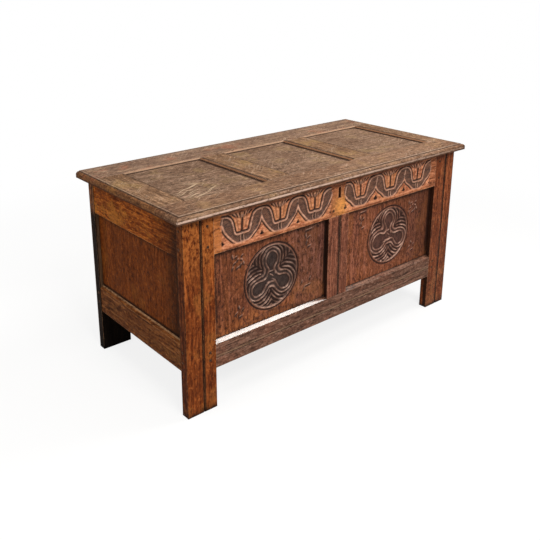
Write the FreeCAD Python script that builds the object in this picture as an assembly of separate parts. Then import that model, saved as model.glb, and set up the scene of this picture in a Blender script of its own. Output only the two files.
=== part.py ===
import FreeCAD, Part
import math
import os
from FreeCAD import Vector

# Joined oak coffer. Millimetres, +X right, +Y to the back, +Z up.
# The origin is on the floor, in the middle of the footprint.

# ---- carcase ----
body_width = 1250.0
body_depth = 558.0
leg_height = 633.0  # floor to the underside of the lid
stile_width = 108.0
frame_thickness = 30.0
top_rail_height = 126.0
bottom_rail_height = 80.0  # at its front face
bottom_rail_lift = 135.0  # floor to the underside of the front and back rails
sill_rise = 9.0  # how far the weathered top of a bottom rail climbs inwards
muntin_width = 93.0
panel_recess = 15.0  # outer face of the frame to the face of its panels
panel_edge = 7.0  # panel thickness at the lip of the groove
panel_field = 11.0  # panel thickness in the middle
feather_width = 38.0
groove_depth = 9.0

# ---- side frames ----
side_rail_thickness = 24.0
side_rail_setback = 2.0
side_panel_recess = 14.0
side_top_rail_height = 118.0
side_bottom_rail_lift = 150.0
side_bottom_rail_height = 88.0  # at its outer face

# ---- run mouldings ----
channel_width = 5.0
channel_depth = 2.6
left_channel_inset = 60.0  # outer edge of the left stile to its channel
right_channel_inset = 46.0
muntin_channel_offset = 6.0
bead_height = 36.0  # underside of the front bottom rail to its bead
bead_width = 6.0
quirk_width = 2.4
quirk_depth = 1.6

# ---- joints ----
tenon_length = 60.0
tenon_haunch = 14.0
muntin_tenon_length = 46.0
side_tenon_length = 22.0
mortise_end_gap = 2.0
fit_play = 0.1  # each side of a tenon or a panel edge in its slot
panel_play = 1.0  # room for a panel to swell at the bottom of its groove
peg_across = 8.0
peg_proud = 1.0
peg_setback = 22.0  # shoulder of the joint to the peg
peg_margin = 20.0  # end of the tenon's height to the peg

# ---- bottom ----
board_count = 6
board_thickness = 12.0
board_rise = 28.0  # underside of the front rail to the underside of the boards
board_tongue = 8.0
board_gap = 0.6

# ---- lid ----
lid_thickness = 22.0
lid_side_overhang = 30.0
lid_end_overhang = 25.0  # front and back
lid_left_opening = 301.0
lid_middle_opening = 286.0  # the right-hand opening takes what is left
lid_front_rail_width = 117.0
lid_back_rail_width = 126.0
lid_left_stile_width = 114.0
lid_right_stile_width = 90.0
lid_muntin_width = 112.0
lid_panel_drop = 8.0
lid_panel_thickness = 7.0
lid_bevel = 6.0
lid_tenon_length = 50.0
nose_height = 12.0
thumbnail_width = 12.0
thumbnail_step = 2.0

# ---- hinges ----
strap_width = 40.0
strap_tip_width = 22.0
strap_thickness = 3.0
lid_strap_length = 230.0
back_strap_length = 105.0
strap_clearance = 0.35
pin_radius = 3.0
pin_fit = 0.05
pin_head = 2.0
knuckle_gap = 0.4

# ---- nails ----
nail_shank = 3.0
nail_head = 9.0
nail_head_height = 2.2
nail_length = 15.0

# ---- lock ----
keyhole_width = 12.0
keyhole_height = 38.0
keyhole_drop = 25.0  # top of the rail to the top of the keyhole
lock_plate_width = 118.0
lock_plate_height = 70.0
lock_plate_thickness = 2.0
lock_plate_drop = 6.0
cover_width = 92.0
cover_height = 62.0
cover_depth = 22.0
cover_wall = 1.5
bolt_length = 52.0
bolt_height = 9.0
bolt_thickness = 8.0
bolt_throw = 14.0
bolt_drop = 17.0  # top of the rail to the top of the bolt
bolt_clearance = 0.2
guide_thickness = 4.0
guide_rim = 4.0
staple_gap = 3.5  # end of the drawn-back bolt to the staple
staple_thickness = 6.0
staple_bar = 3.0
staple_eye_width = 9.6
staple_eye_margin = 2.5
staple_plate_length = 60.0
staple_plate_width = 36.0
staple_plate_thickness = 2.5
key_pin_radius = 2.0

# ---- worked out from the sizes above ----
left = -body_width / 2
right = body_width / 2
front = -body_depth / 2
back = body_depth / 2
shoulder = left + stile_width  # inner edge of the left stiles
inner_front = front + frame_thickness
slot_width = panel_edge + 2 * fit_play
slot_front = front + panel_recess
slot_back = slot_front + slot_width
rail_bottom = leg_height - top_rail_height
sill_arris = bottom_rail_lift + bottom_rail_height
sill_top = sill_arris + sill_rise
muntin_half = muntin_width / 2
panel_slip = groove_depth - panel_play  # how far a panel goes into its grooves
board_height = bottom_rail_lift + board_rise

side_face = left + side_rail_setback
side_inner = side_face + side_rail_thickness
side_slot = left + side_panel_recess
side_slot_inner = side_slot + slot_width
side_rail_bottom = leg_height - side_top_rail_height
side_sill_arris = side_bottom_rail_lift + side_bottom_rail_height
side_sill_top = side_sill_arris + sill_rise

lid_left = left - lid_side_overhang
lid_right = right + lid_side_overhang
lid_front = front - lid_end_overhang
lid_back = back + lid_end_overhang
lid_top = leg_height + lid_thickness
lid_inner_front = lid_front + lid_front_rail_width
lid_inner_back = lid_back - lid_back_rail_width
lid_panel_top = lid_top - lid_panel_drop
lid_slot_bottom = lid_panel_top - lid_panel_thickness - 2 * fit_play
lid_opening_left = lid_left + lid_left_stile_width
lid_opening_right = lid_right - lid_right_stile_width
lid_muntin_left = lid_opening_left + lid_left_opening
lid_muntin_right = lid_muntin_left + lid_muntin_width + lid_middle_opening
hinge_places = [
    lid_muntin_left + lid_muntin_width / 2,
    lid_muntin_right + lid_muntin_width / 2,
]

knuckle_radius = pin_radius + pin_fit + strap_thickness
axis_y = back + knuckle_radius + strap_clearance
axis_z = leg_height - knuckle_radius - strap_clearance
knuckle_length = (strap_width - 2 * knuckle_gap) / 3

parts = {}


def box(x0, x1, y0, y1, z0, z1):
    return Part.makeBox(x1 - x0, y1 - y0, z1 - z0, Vector(x0, y0, z0))


def along_x(points, x0, x1):
    """Closed outline of (y, z) points, drawn out along X."""
    wire = Part.makePolygon([Vector(x0, y, z) for y, z in points + points[:1]])
    return Part.Face(wire).extrude(Vector(x1 - x0, 0, 0))


def along_y(points, y0, y1):
    """Closed outline of (x, z) points, drawn out along Y."""
    wire = Part.makePolygon([Vector(x, y0, z) for x, z in points + points[:1]])
    return Part.Face(wire).extrude(Vector(0, y1 - y0, 0))


def along_z(points, z0, z1):
    """Closed outline of (x, y) points, drawn out along Z."""
    wire = Part.makePolygon([Vector(x, y, z0) for x, y in points + points[:1]])
    return Part.Face(wire).extrude(Vector(0, 0, z1 - z0))


def to_back(shape):
    return shape.mirror(Vector(0, 0, 0), Vector(0, 1, 0))


def to_right(shape):
    return shape.mirror(Vector(0, 0, 0), Vector(1, 0, 0))


def cut_all(shape, tools):
    return shape.cut(Part.makeCompound(tools)) if tools else shape


def octagon(across, play=0.0):
    """Corners of a riven peg's eight-sided section, about its own middle."""
    radius = (across / 2 + play) / math.cos(math.pi / 8)
    turns = [math.pi / 8 + i * math.pi / 4 for i in range(8)]
    return [(radius * math.cos(t), radius * math.sin(t)) for t in turns]


def peg_y(x, z, y0, y1, play=0.0):
    return along_y([(x + u, z + v) for u, v in octagon(peg_across, play)], y0, y1)


def peg_x(y, z, x0, x1, play=0.0):
    return along_x([(y + u, z + v) for u, v in octagon(peg_across, play)], x0, x1)


def peg_z(x, y, z0, z1, play=0.0):
    return along_z([(x + u, y + v) for u, v in octagon(peg_across, play)], z0, z1)


# ---------------------------------------------------------------- front and back frames

# Heights of the tenons: each leaves its rail's groove clear and is haunched at the far edge.
top_tenon = (rail_bottom + groove_depth, leg_height - tenon_haunch)
bottom_tenon = (bottom_rail_lift + tenon_haunch, sill_top - groove_depth)
side_top_tenon = (side_rail_bottom + groove_depth, leg_height - tenon_haunch)
side_bottom_tenon = (side_bottom_rail_lift + tenon_haunch, side_sill_top - groove_depth)
muntin_tenon = (groove_depth - muntin_half, muntin_half - groove_depth)


def peg_heights(tenon):
    return [tenon[0] + peg_margin, tenon[1] - peg_margin]


def frame_pegs(play=0.0, proud=peg_proud):
    """Pegs of the left-hand joints of a front or back frame, from the outer face inwards."""
    heights = peg_heights(top_tenon) + peg_heights(bottom_tenon)
    return [peg_y(shoulder - peg_setback, z, front - proud, inner_front, play) for z in heights]


def muntin_pegs(play=0.0, proud=peg_proud):
    heights = [rail_bottom + peg_setback, sill_arris - peg_setback]
    reach = muntin_half - peg_margin
    return [peg_y(x, z, front - proud, inner_front, play) for z in heights for x in (-reach, reach)]


def side_pegs(play=0.0, proud=peg_proud):
    """Pegs of the front left corner's side joints, through the edge of the stile."""
    heights = peg_heights(side_top_tenon) + peg_heights(side_bottom_tenon)
    depth = inner_front - side_tenon_length / 2
    return [peg_x(depth, z, left - proud, side_inner, play) for z in heights]


def mortise(tenon):
    return tenon[0] - fit_play, tenon[1] + fit_play


def stile(channel_inset=None):
    """A front left leg, with a channel run down its face if one is given."""
    body = box(left, shoulder, front, inner_front, 0, leg_height)
    cuts = []
    for tenon in (top_tenon, bottom_tenon):
        z0, z1 = mortise(tenon)
        end = shoulder - tenon_length - mortise_end_gap
        cuts.append(box(end, shoulder, slot_front, slot_back, z0, z1))
    for tenon in (side_top_tenon, side_bottom_tenon):
        z0, z1 = mortise(tenon)
        end = inner_front - side_tenon_length - mortise_end_gap
        cuts.append(box(side_slot, side_slot_inner, end, inner_front, z0, z1))
    groove = shoulder - groove_depth
    cuts.append(box(groove, shoulder, slot_front, slot_back, bottom_tenon[1], top_tenon[0]))
    groove = inner_front - groove_depth
    cuts.append(
        box(side_slot, side_slot_inner, groove, inner_front, side_bottom_tenon[1], side_top_tenon[0])
    )
    if channel_inset is not None:
        cuts.append(channel(left + channel_inset, 0, leg_height))
    return cut_all(body, cuts + frame_pegs(fit_play) + side_pegs(fit_play))


def channel(x, z0, z1):
    """A V-shaped channel run down a front face."""
    half = channel_width / 2
    outline = [(x - half, front), (x, front + channel_depth), (x + half, front)]
    return along_z(outline, z0, z1)


def rail_tenons(tenon):
    """Tenons on both ends of a front or back rail."""
    y0 = slot_front + fit_play
    end = shoulder - tenon_length
    one = box(end, shoulder, y0, y0 + panel_edge, tenon[0], tenon[1])
    return [one, to_right(one)]


def both_ends(shapes):
    return shapes + [to_right(s) for s in shapes]


def muntin_mortise(z0, z1):
    return box(
        muntin_tenon[0] - fit_play, muntin_tenon[1] + fit_play, slot_front, slot_back, z0, z1
    )


def top_rail(extra_cuts):
    body = box(shoulder, -shoulder, front, inner_front, rail_bottom, leg_height)
    body = body.fuse(rail_tenons(top_tenon)).removeSplitter()
    groove_top = rail_bottom + groove_depth
    cuts = [box(shoulder, -shoulder, slot_front, slot_back, rail_bottom, groove_top)]
    cuts.append(muntin_mortise(rail_bottom, rail_bottom + muntin_tenon_length + mortise_end_gap))
    cuts += both_ends(frame_pegs(fit_play)) + muntin_pegs(fit_play)
    return cut_all(body, cuts + extra_cuts)


def bottom_rail(sill, bead):
    """A bottom rail; the front one has a weathered sill and a bead along its face."""
    arris = sill_arris if sill else sill_top
    outline = [
        (front, bottom_rail_lift),
        (inner_front, bottom_rail_lift),
        (inner_front, sill_top),
        (slot_front, sill_top),
        (front, arris),
    ]
    body = along_x(outline, shoulder, -shoulder)
    body = body.fuse(rail_tenons(bottom_tenon)).removeSplitter()
    groove_foot = sill_top - groove_depth
    cuts = [box(shoulder, -shoulder, slot_front, slot_back, groove_foot, sill_top)]
    cuts.append(muntin_mortise(sill_top - muntin_tenon_length - mortise_end_gap, sill_top))
    tongue = inner_front - board_tongue
    board_top = board_height + board_thickness
    cuts.append(box(shoulder, -shoulder, tongue, inner_front, board_height, board_top))
    cuts += both_ends(frame_pegs(fit_play)) + muntin_pegs(fit_play)
    if bead:
        middle = bottom_rail_lift + bead_height
        for z in (middle - bead_width / 2, middle + bead_width / 2):
            half = quirk_width / 2
            quirk = [(front, z - half), (front + quirk_depth, z), (front, z + half)]
            cuts.append(along_x(quirk, shoulder, -shoulder))
    return cut_all(body, cuts)


def muntin(sill, with_channel):
    """The upright between the panels, its foot scribed over the sill."""
    foot = sill_arris if sill else sill_top
    outline = [(front, foot), (slot_front, sill_top), (inner_front, sill_top)]
    outline += [(inner_front, rail_bottom), (front, rail_bottom)]
    body = along_x(outline, -muntin_half, muntin_half)
    y0 = slot_front + fit_play
    z0 = sill_top - muntin_tenon_length
    z1 = rail_bottom + muntin_tenon_length
    tongue = box(muntin_tenon[0], muntin_tenon[1], y0, y0 + panel_edge, z0, z1)
    body = body.fuse(tongue).removeSplitter()
    edge = muntin_half - groove_depth
    groove = box(edge, muntin_half, slot_front, slot_back, sill_top, rail_bottom)
    cuts = both_ends([groove]) + muntin_pegs(fit_play)
    if with_channel:
        cuts.append(channel(muntin_channel_offset, foot, rail_bottom))
    return cut_all(body, cuts)


def feathered(u0, u1, z0, z1, face):
    """A panel flat on its face and feathered at the back, for an opening u0..u1 by z0..z1."""
    slope = (panel_field - panel_edge) / (feather_width - panel_slip)
    tip = panel_edge - slope * panel_slip

    def outline(a, b):
        return [
            (a, face),
            (b, face),
            (b, face + tip),
            (b - feather_width, face + panel_field),
            (a + feather_width, face + panel_field),
            (a, face + tip),
        ]

    a = u0 - panel_slip
    b = u1 + panel_slip
    foot = z0 - panel_slip
    head = z1 + panel_slip
    across = along_z(outline(a, b), foot, head)
    upright = along_x([(d, z) for z, d in outline(foot, head)], a, b)
    return across.common(upright)


def frame_panel():
    """The left-hand panel of a front or back frame."""
    return feathered(shoulder, -muntin_half, sill_top, rail_bottom, slot_front + fit_play)


# ---------------------------------------------------------------- side frames


def side_rail(tenon, z0, z1, arris, with_boards):
    """A left side rail; arris is the height of its outer top edge."""
    at_top = tenon is side_top_tenon
    outline = [(side_face, z0), (side_inner, z0), (side_inner, z1)]
    outline += [(side_slot, z1), (side_face, arris)]
    body = along_y(outline, inner_front, -inner_front)
    x0 = side_slot + fit_play
    end = inner_front - side_tenon_length
    tongue = box(x0, x0 + panel_edge, end, inner_front, tenon[0], tenon[1])
    body = body.fuse([tongue, to_back(tongue)]).removeSplitter()
    groove = (z0, z0 + groove_depth) if at_top else (z1 - groove_depth, z1)
    cuts = [box(side_slot, side_slot_inner, inner_front, -inner_front, *groove)]
    if with_boards:
        tongue = side_inner - board_tongue
        board_top = board_height + board_thickness
        cuts.append(box(tongue, side_inner, inner_front, -inner_front, board_height, board_top))
    pegs = side_pegs(fit_play)
    return cut_all(body, cuts + pegs + [to_back(p) for p in pegs])


def side_panel():
    face = side_slot + fit_play
    panel = feathered(inner_front, -inner_front, side_sill_top, side_rail_bottom, face)
    # Built facing the front, then its width is laid along Y and its depth along X.
    return panel.mirror(Vector(0, 0, 0), Vector(1, -1, 0))


def bottom_boards():
    """Boards laid front to back in grooves, the end ones notched round the legs."""
    x0 = side_inner - board_tongue + panel_play
    y0 = inner_front - board_tongue + panel_play
    z0 = board_height + fit_play
    z1 = board_height + board_thickness - fit_play
    width = (-2 * x0 - (board_count - 1) * board_gap) / board_count
    leg = box(left, shoulder + board_gap, front, inner_front + board_gap, 0, leg_height)
    corners = [leg, to_right(leg), to_back(leg), to_back(to_right(leg))]
    boards = []
    for i in range(board_count):
        start = x0 + i * (width + board_gap)
        boards.append(cut_all(box(start, start + width, y0, -y0, z0, z1), corners))
    return boards


# ---------------------------------------------------------------- nails


def nail_frame(shape, point, direction):
    """Turns a nail drawn pointing down Z, head up, so that its head faces direction."""
    turned = shape.copy()
    turned.Placement = FreeCAD.Placement(point, FreeCAD.Rotation(Vector(0, 0, 1), direction))
    return turned


def shank(point, direction):
    half = nail_shank / 2
    return nail_frame(box(-half, half, -half, half, -nail_length, 0), point, direction)


def nail(point, direction):
    """A hammered nail: a square shank under a four-sided rose head."""
    half = nail_shank / 2
    body = box(-half, half, -half, half, -nail_length, 0)
    return nail_frame(body.fuse(rose_head()), point, direction)


def rose_head():
    """A pyramid cut off short, standing on z = 0."""
    half = nail_shank / 2
    wide = nail_head / 2
    rings = []
    for reach, z in ((wide, 0), (half, nail_head_height)):
        corners = [(-reach, -reach), (reach, -reach), (reach, reach), (-reach, reach)]
        rings.append(Part.makePolygon([Vector(x, y, z) for x, y in corners + corners[:1]]))
    return Part.makeLoft(rings, True, True)


# ---------------------------------------------------------------- hinges


def strap_outline(length):
    """Half-plan of a tapered strap: root at u = 0, rounded tip at u = length."""
    root = strap_width / 2
    tip = strap_tip_width / 2
    start = length - tip
    corners = [Vector(0, -root, 0), Vector(start, -tip, 0)]
    ends = [Vector(start, tip, 0), Vector(0, root, 0)]
    bow = Part.Arc(corners[1], Vector(length, 0, 0), ends[0]).toShape()
    lines = [
        Part.makeLine(corners[0], corners[1]),
        bow,
        Part.makeLine(ends[0], ends[1]),
        Part.makeLine(ends[1], corners[0]),
    ]
    return Part.Face(Part.Wire(lines))


def strap_nails(length, first):
    """Places of a strap's nails, measured from its root, starting at first."""
    last = length - strap_tip_width / 2
    return [first + (last - first) * i / 3 for i in range(4)]


def knuckles(x, wanted):
    """Barrel pieces about the pin at x: 'middle' or 'outer', bored for the pin."""
    start = x - strap_width / 2
    pitch = knuckle_length + knuckle_gap
    places = [1] if wanted == "middle" else [0, 2]
    direction = Vector(1, 0, 0)
    made = []
    for i in places:
        foot = Vector(start + i * pitch, axis_y, axis_z)
        made.append(Part.makeCylinder(knuckle_radius, knuckle_length, foot, direction))
    return made


def bore(x):
    foot = Vector(x - strap_width, axis_y, axis_z)
    return Part.makeCylinder(pin_radius + pin_fit, 2 * strap_width, foot, Vector(1, 0, 0))


def relief(x, wanted):
    """Room round the other leaf's knuckles."""
    start = x - strap_width / 2
    pitch = knuckle_length + knuckle_gap
    places = [0, 2] if wanted == "middle" else [1]
    reach = knuckle_radius + knuckle_gap
    rooms = []
    for i in places:
        x0 = start + i * pitch - knuckle_gap
        x1 = x0 + knuckle_length + 2 * knuckle_gap
        rooms.append(box(x0, x1, axis_y - reach, axis_y + reach, axis_z - reach, axis_z + reach))
    return rooms


def lid_strap(x):
    """The leaf under the lid: a long strap running forward from the middle knuckle."""
    plate = strap_outline(lid_strap_length).extrude(Vector(0, 0, strap_thickness))
    plate.rotate(Vector(0, 0, 0), Vector(0, 0, 1), -90)
    plate.translate(Vector(x, axis_y, leg_height - strap_thickness))
    plate = cut_all(plate, relief(x, "middle"))
    leaf = plate.fuse(knuckles(x, "middle"))
    holes = [shank(p, Vector(0, 0, -1)) for p in lid_strap_nails(x)]
    return cut_all(leaf, [bore(x)] + holes)


def lid_strap_nails(x):
    """The first one is just inside the back rail, clear of the strap's housing."""
    under = leg_height - strap_thickness
    first = axis_y + inner_front + nail_head
    return [Vector(x, axis_y - u, under) for u in strap_nails(lid_strap_length, first)]


def back_strap(x):
    """The leaf on the back of the chest, hanging from the two outer knuckles."""
    plate = strap_outline(back_strap_length).extrude(Vector(0, 0, strap_thickness))
    plate.rotate(Vector(0, 0, 0), Vector(0, 1, 0), 90)
    plate.rotate(Vector(0, 0, 0), Vector(0, 0, 1), 90)
    plate.translate(Vector(x, back, axis_z))
    plate = cut_all(plate, relief(x, "outer"))
    leaf = plate.fuse(knuckles(x, "outer"))
    holes = [shank(p, Vector(0, 1, 0)) for p in back_strap_nails(x)]
    return cut_all(leaf, [bore(x)] + holes)


def back_strap_nails(x):
    outer = back + strap_thickness
    first = knuckle_radius + nail_head
    return [Vector(x, outer, axis_z - u) for u in strap_nails(back_strap_length, first)]


def hinge_pin(x):
    """The pin, with a hammered head at each end."""
    along = Vector(1, 0, 0)
    foot = x - strap_width / 2 - fit_play - pin_head
    whole = strap_width + 2 * fit_play + 2 * pin_head
    body = Part.makeCylinder(pin_radius, whole, Vector(foot, axis_y, axis_z), along)
    wide = pin_radius + pin_head / 2
    near = Part.makeCylinder(wide, pin_head, Vector(foot, axis_y, axis_z), along)
    far = near.copy()
    far.translate(Vector(whole - pin_head, 0, 0))
    return body.fuse([near, far]).removeSplitter()


def strap_housing(x):
    """The shallow notch in the back rail's top that the lid's strap lies in."""
    half = strap_width / 2 + strap_clearance
    floor = leg_height - strap_thickness - strap_clearance
    return box(x - half, x + half, -inner_front, back, floor, leg_height)


# ---------------------------------------------------------------- lid


def lid_blank():
    """The whole lid as one moulded slab: three crossing sections give mitred corners."""
    nose = leg_height + nose_height
    shelf = lid_top - thumbnail_step

    def edge(start, end, place):
        """The section from a moulded edge at start to a plain edge at end."""
        step = thumbnail_width if end > start else -thumbnail_width
        foot = place(start, leg_height)
        lip = place(start, nose)
        curl = place(start + step, shelf)
        bulge = place(
            start + step * (1 - math.cos(math.pi / 4)),
            nose + (shelf - nose) * math.sin(math.pi / 4),
        )
        rim = place(start + step, lid_top)
        lines = [
            Part.makeLine(foot, lip),
            Part.Arc(lip, bulge, curl).toShape(),
            Part.makeLine(curl, rim),
            Part.makeLine(rim, place(end, lid_top)),
            Part.makeLine(place(end, lid_top), place(end, leg_height)),
            Part.makeLine(place(end, leg_height), foot),
        ]
        return Part.Face(Part.Wire(lines))

    whole = Vector(lid_right - lid_left, 0, 0)
    deep = Vector(0, lid_back - lid_front, 0)
    slab = edge(lid_front, lid_back, lambda y, z: Vector(lid_left, y, z)).extrude(whole)
    slab = slab.common(edge(lid_left, lid_right, lambda x, z: Vector(x, lid_front, z)).extrude(deep))
    return slab.common(edge(lid_right, lid_left, lambda x, z: Vector(x, lid_front, z)).extrude(deep))


def lid_openings():
    """Left and right edges of the three panel openings."""
    return [
        (lid_opening_left, lid_muntin_left),
        (lid_muntin_left + lid_muntin_width, lid_muntin_right),
        (lid_muntin_right + lid_muntin_width, lid_opening_right),
    ]


def lid_bevels():
    """Tapered tools that bevel the frame round each panel, mitred at the corners."""
    tools = []
    for x0, x1 in lid_openings():
        rings = []
        for grow, z in ((0, lid_top - lid_bevel), (lid_bevel, lid_top)):
            corners = [
                (x0 - grow, lid_inner_front - grow),
                (x1 + grow, lid_inner_front - grow),
                (x1 + grow, lid_inner_back + grow),
                (x0 - grow, lid_inner_back + grow),
            ]
            rings.append(Part.makePolygon([Vector(x, y, z) for x, y in corners + corners[:1]]))
        tools.append(Part.makeLoft(rings, True, True))
    return tools


def lid_grooves():
    """The groove round each panel, as one slab cut from rails, stiles and muntins alike."""
    tools = []
    for x0, x1 in lid_openings():
        tools.append(
            box(
                x0 - groove_depth,
                x1 + groove_depth,
                lid_inner_front - groove_depth,
                lid_inner_back + groove_depth,
                lid_slot_bottom,
                lid_panel_top,
            )
        )
    return tools


def lid_tenon_span(x0, x1):
    """Left and right cheeks of an upright's tenons, clear of the grooves beside it."""
    first = x0 + (groove_depth if x0 > lid_left else tenon_haunch)
    last = x1 - (groove_depth if x1 < lid_right else tenon_haunch)
    return first, last


def lid_uprights():
    """Edges of the four pieces that run from the front rail to the back rail."""
    return {
        "lid_left_stile": (lid_left, lid_opening_left),
        "lid_left_muntin": (lid_muntin_left, lid_muntin_left + lid_muntin_width),
        "lid_right_muntin": (lid_muntin_right, lid_muntin_right + lid_muntin_width),
        "lid_right_stile": (lid_opening_right, lid_right),
    }


def lid_peg_places():
    """Middle of each lid peg: two at each joint of an upright."""
    places = []
    for x0, x1 in lid_uprights().values():
        first, last = lid_tenon_span(x0, x1)
        for x in (first + peg_margin / 2, last - peg_margin / 2):
            places.append((x, lid_inner_front - peg_setback))
            places.append((x, lid_inner_back + peg_setback))
    return places


def lid_pegs(play=0.0):
    return [peg_z(x, y, leg_height, lid_top + play, play) for x, y in lid_peg_places()]


def lid_pieces():
    blank = lid_blank()
    bevels = lid_bevels()
    grooves = lid_grooves()
    pegs = lid_pegs(fit_play)
    nails = [shank(p, Vector(0, 0, -1)) for x in hinge_places for p in lid_strap_nails(x)]
    nails += [shank(p, Vector(0, 0, -1)) for p in staple_nails()]
    z0 = lid_slot_bottom + fit_play
    z1 = z0 + lid_panel_thickness
    made = {}
    mortises = []
    for name, (x0, x1) in lid_uprights().items():
        body = blank.common(box(x0, x1, lid_inner_front, lid_inner_back, leg_height, lid_top))
        body = cut_all(body, bevels + grooves)
        a, b = lid_tenon_span(x0, x1)
        y0 = lid_inner_front - lid_tenon_length
        y1 = lid_inner_back + lid_tenon_length
        ends = [box(a, b, y0, lid_inner_front, z0, z1), box(a, b, lid_inner_back, y1, z0, z1)]
        body = body.fuse(ends).removeSplitter()
        made[name] = cut_all(body, pegs + nails)
        gap = mortise_end_gap
        mortises.append(
            box(a - fit_play, b + fit_play, y0 - gap, y1 + gap, lid_slot_bottom, lid_panel_top)
        )
    rails = {
        "lid_front_rail": (lid_front, lid_inner_front),
        "lid_back_rail": (lid_inner_back, lid_back),
    }
    for name, (y0, y1) in rails.items():
        body = blank.common(box(lid_left, lid_right, y0, y1, leg_height, lid_top))
        made[name] = cut_all(body, bevels + grooves + mortises + pegs + nails)
    names = ("lid_left_panel", "lid_middle_panel", "lid_right_panel")
    for name, (x0, x1) in zip(names, lid_openings()):
        y0 = lid_inner_front - panel_slip
        y1 = lid_inner_back + panel_slip
        made[name] = box(x0 - panel_slip, x1 + panel_slip, y0, y1, z0, z1)
    return made


# ---------------------------------------------------------------- lock

lock_back = inner_front + lock_plate_thickness
cover_top = leg_height - lock_plate_drop - (lock_plate_height - cover_height) / 2
cover_bottom = cover_top - cover_height
cover_back = lock_back + cover_depth
lock_middle_y = (lock_back + cover_back - cover_wall) / 2
keyhole_top = leg_height - keyhole_drop
key_axis_z = keyhole_top - keyhole_width / 2
bolt_top = leg_height - bolt_drop
bolt_bottom = bolt_top - bolt_height
bolt_end = bolt_length / 2 - bolt_throw / 2 - guide_thickness
staple_start = bolt_end + staple_gap
staple_end = staple_start + staple_thickness


def keyhole(y0, y1):
    """A plain upright slot with a rounded top."""
    half = keyhole_width / 2
    slot = box(-half, half, y0, y1, keyhole_top - keyhole_height, key_axis_z)
    eye = Part.makeCylinder(half, y1 - y0, Vector(0, y0, key_axis_z), Vector(0, 1, 0))
    return slot.fuse(eye).removeSplitter()


def lock_nails():
    """Nails at the corners of the lock plate."""
    reach = (lock_plate_width + cover_width) / 4
    high = leg_height - lock_plate_drop - nail_head
    low = leg_height - lock_plate_drop - lock_plate_height + nail_head
    return [Vector(x, lock_back, z) for x in (-reach, reach) for z in (low, high)]


def bolt_guides():
    """Two square loops standing on the lock plate, which carry the bolt."""
    play = bolt_clearance
    y0 = lock_middle_y - bolt_thickness / 2 - play
    y1 = lock_middle_y + bolt_thickness / 2 + play
    hole = box(
        -bolt_length, bolt_length, y0, y1, bolt_bottom - play, bolt_top + play
    )
    near = bolt_end - bolt_length + bolt_throw + guide_thickness
    loops = []
    for x in (near, bolt_end - 2 * guide_thickness):
        rim = guide_rim
        loop = box(
            x, x + guide_thickness, lock_back, y1 + rim / 2, bolt_bottom - rim, bolt_top + rim
        )
        loops.append(loop.cut(hole))
    return loops


def lock_plate():
    half = lock_plate_width / 2
    top = leg_height - lock_plate_drop
    plate = box(-half, half, inner_front, lock_back, top - lock_plate_height, top)
    plate = plate.cut(keyhole(inner_front, lock_back))
    plate = plate.fuse(bolt_guides()).removeSplitter()
    return cut_all(plate, [shank(p, Vector(0, 1, 0)) for p in lock_nails()])


def lock_cover():
    """A folded iron box over the works, open at its back and slotted for the staple."""
    half = cover_width / 2
    wall = cover_wall
    outer = box(-half, half, lock_back, cover_back, cover_bottom, cover_top)
    inner = box(
        -half + wall,
        half - wall,
        lock_back,
        cover_back - wall,
        cover_bottom + wall,
        cover_top - wall,
    )
    room = staple_gap / 2
    reach = staple_eye_width / 2 + staple_bar + room
    slot = box(
        staple_start - room,
        staple_end + room,
        lock_middle_y - reach,
        lock_middle_y + reach,
        cover_top - wall,
        cover_top,
    )
    return outer.cut(inner).cut(slot)


def lock_bolt():
    """The sliding bolt, drawn back; its talon is the notch that the key pushes in."""
    y0 = lock_middle_y - bolt_thickness / 2
    y1 = lock_middle_y + bolt_thickness / 2
    body = box(bolt_end - bolt_length, bolt_end, y0, y1, bolt_bottom, bolt_top)
    talon = bolt_throw / 2
    notch = box(-talon, talon, y0, y1, bolt_bottom, bolt_bottom + bolt_height / 3)
    return body.cut(notch)


def key_pin():
    start = lock_back
    length = cover_back - cover_wall - start
    foot = Vector(0, start, key_axis_z)
    return Part.makeCylinder(key_pin_radius, length, foot, Vector(0, 1, 0))


def staple_nails():
    reach = staple_plate_length / 2 - nail_head
    middle = (staple_start + staple_end) / 2
    under = leg_height - staple_plate_thickness
    return [Vector(middle + d, lock_middle_y + staple_eye_width, under) for d in (-reach, reach)]


def lock_staple():
    """The catch under the lid: a plate with an eye that drops into the lock."""
    middle = (staple_start + staple_end) / 2
    half = staple_plate_length / 2
    y0 = inner_front + board_gap
    top = leg_height
    under = top - staple_plate_thickness
    plate = box(middle - half, middle + half, y0, y0 + staple_plate_width, under, top)
    eye_half = staple_eye_width / 2
    reach = eye_half + staple_bar
    eye_bottom = bolt_bottom - staple_eye_margin
    loop = box(
        staple_start,
        staple_end,
        lock_middle_y - reach,
        lock_middle_y + reach,
        eye_bottom - staple_bar,
        under,
    )
    eye_top = bolt_top + staple_eye_margin
    eye = box(
        staple_start,
        staple_end,
        lock_middle_y - eye_half,
        lock_middle_y + eye_half,
        eye_bottom,
        eye_top,
    )
    piece = plate.fuse(loop.cut(eye)).removeSplitter()
    return cut_all(piece, [shank(p, Vector(0, 0, -1)) for p in staple_nails()])


# ---------------------------------------------------------------- the pieces

back_nail_holes = [shank(p, Vector(0, 1, 0)) for x in hinge_places for p in back_strap_nails(x)]
back_rail_cuts = [to_back(s) for s in back_nail_holes + [strap_housing(x) for x in hinge_places]]
lock_nail_holes = [shank(p, Vector(0, 1, 0)) for p in lock_nails()]

parts["front_left_stile"] = stile(left_channel_inset)
parts["front_right_stile"] = to_right(stile(right_channel_inset))
parts["back_left_stile"] = to_back(stile())
parts["back_right_stile"] = to_right(to_back(stile()))

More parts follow.
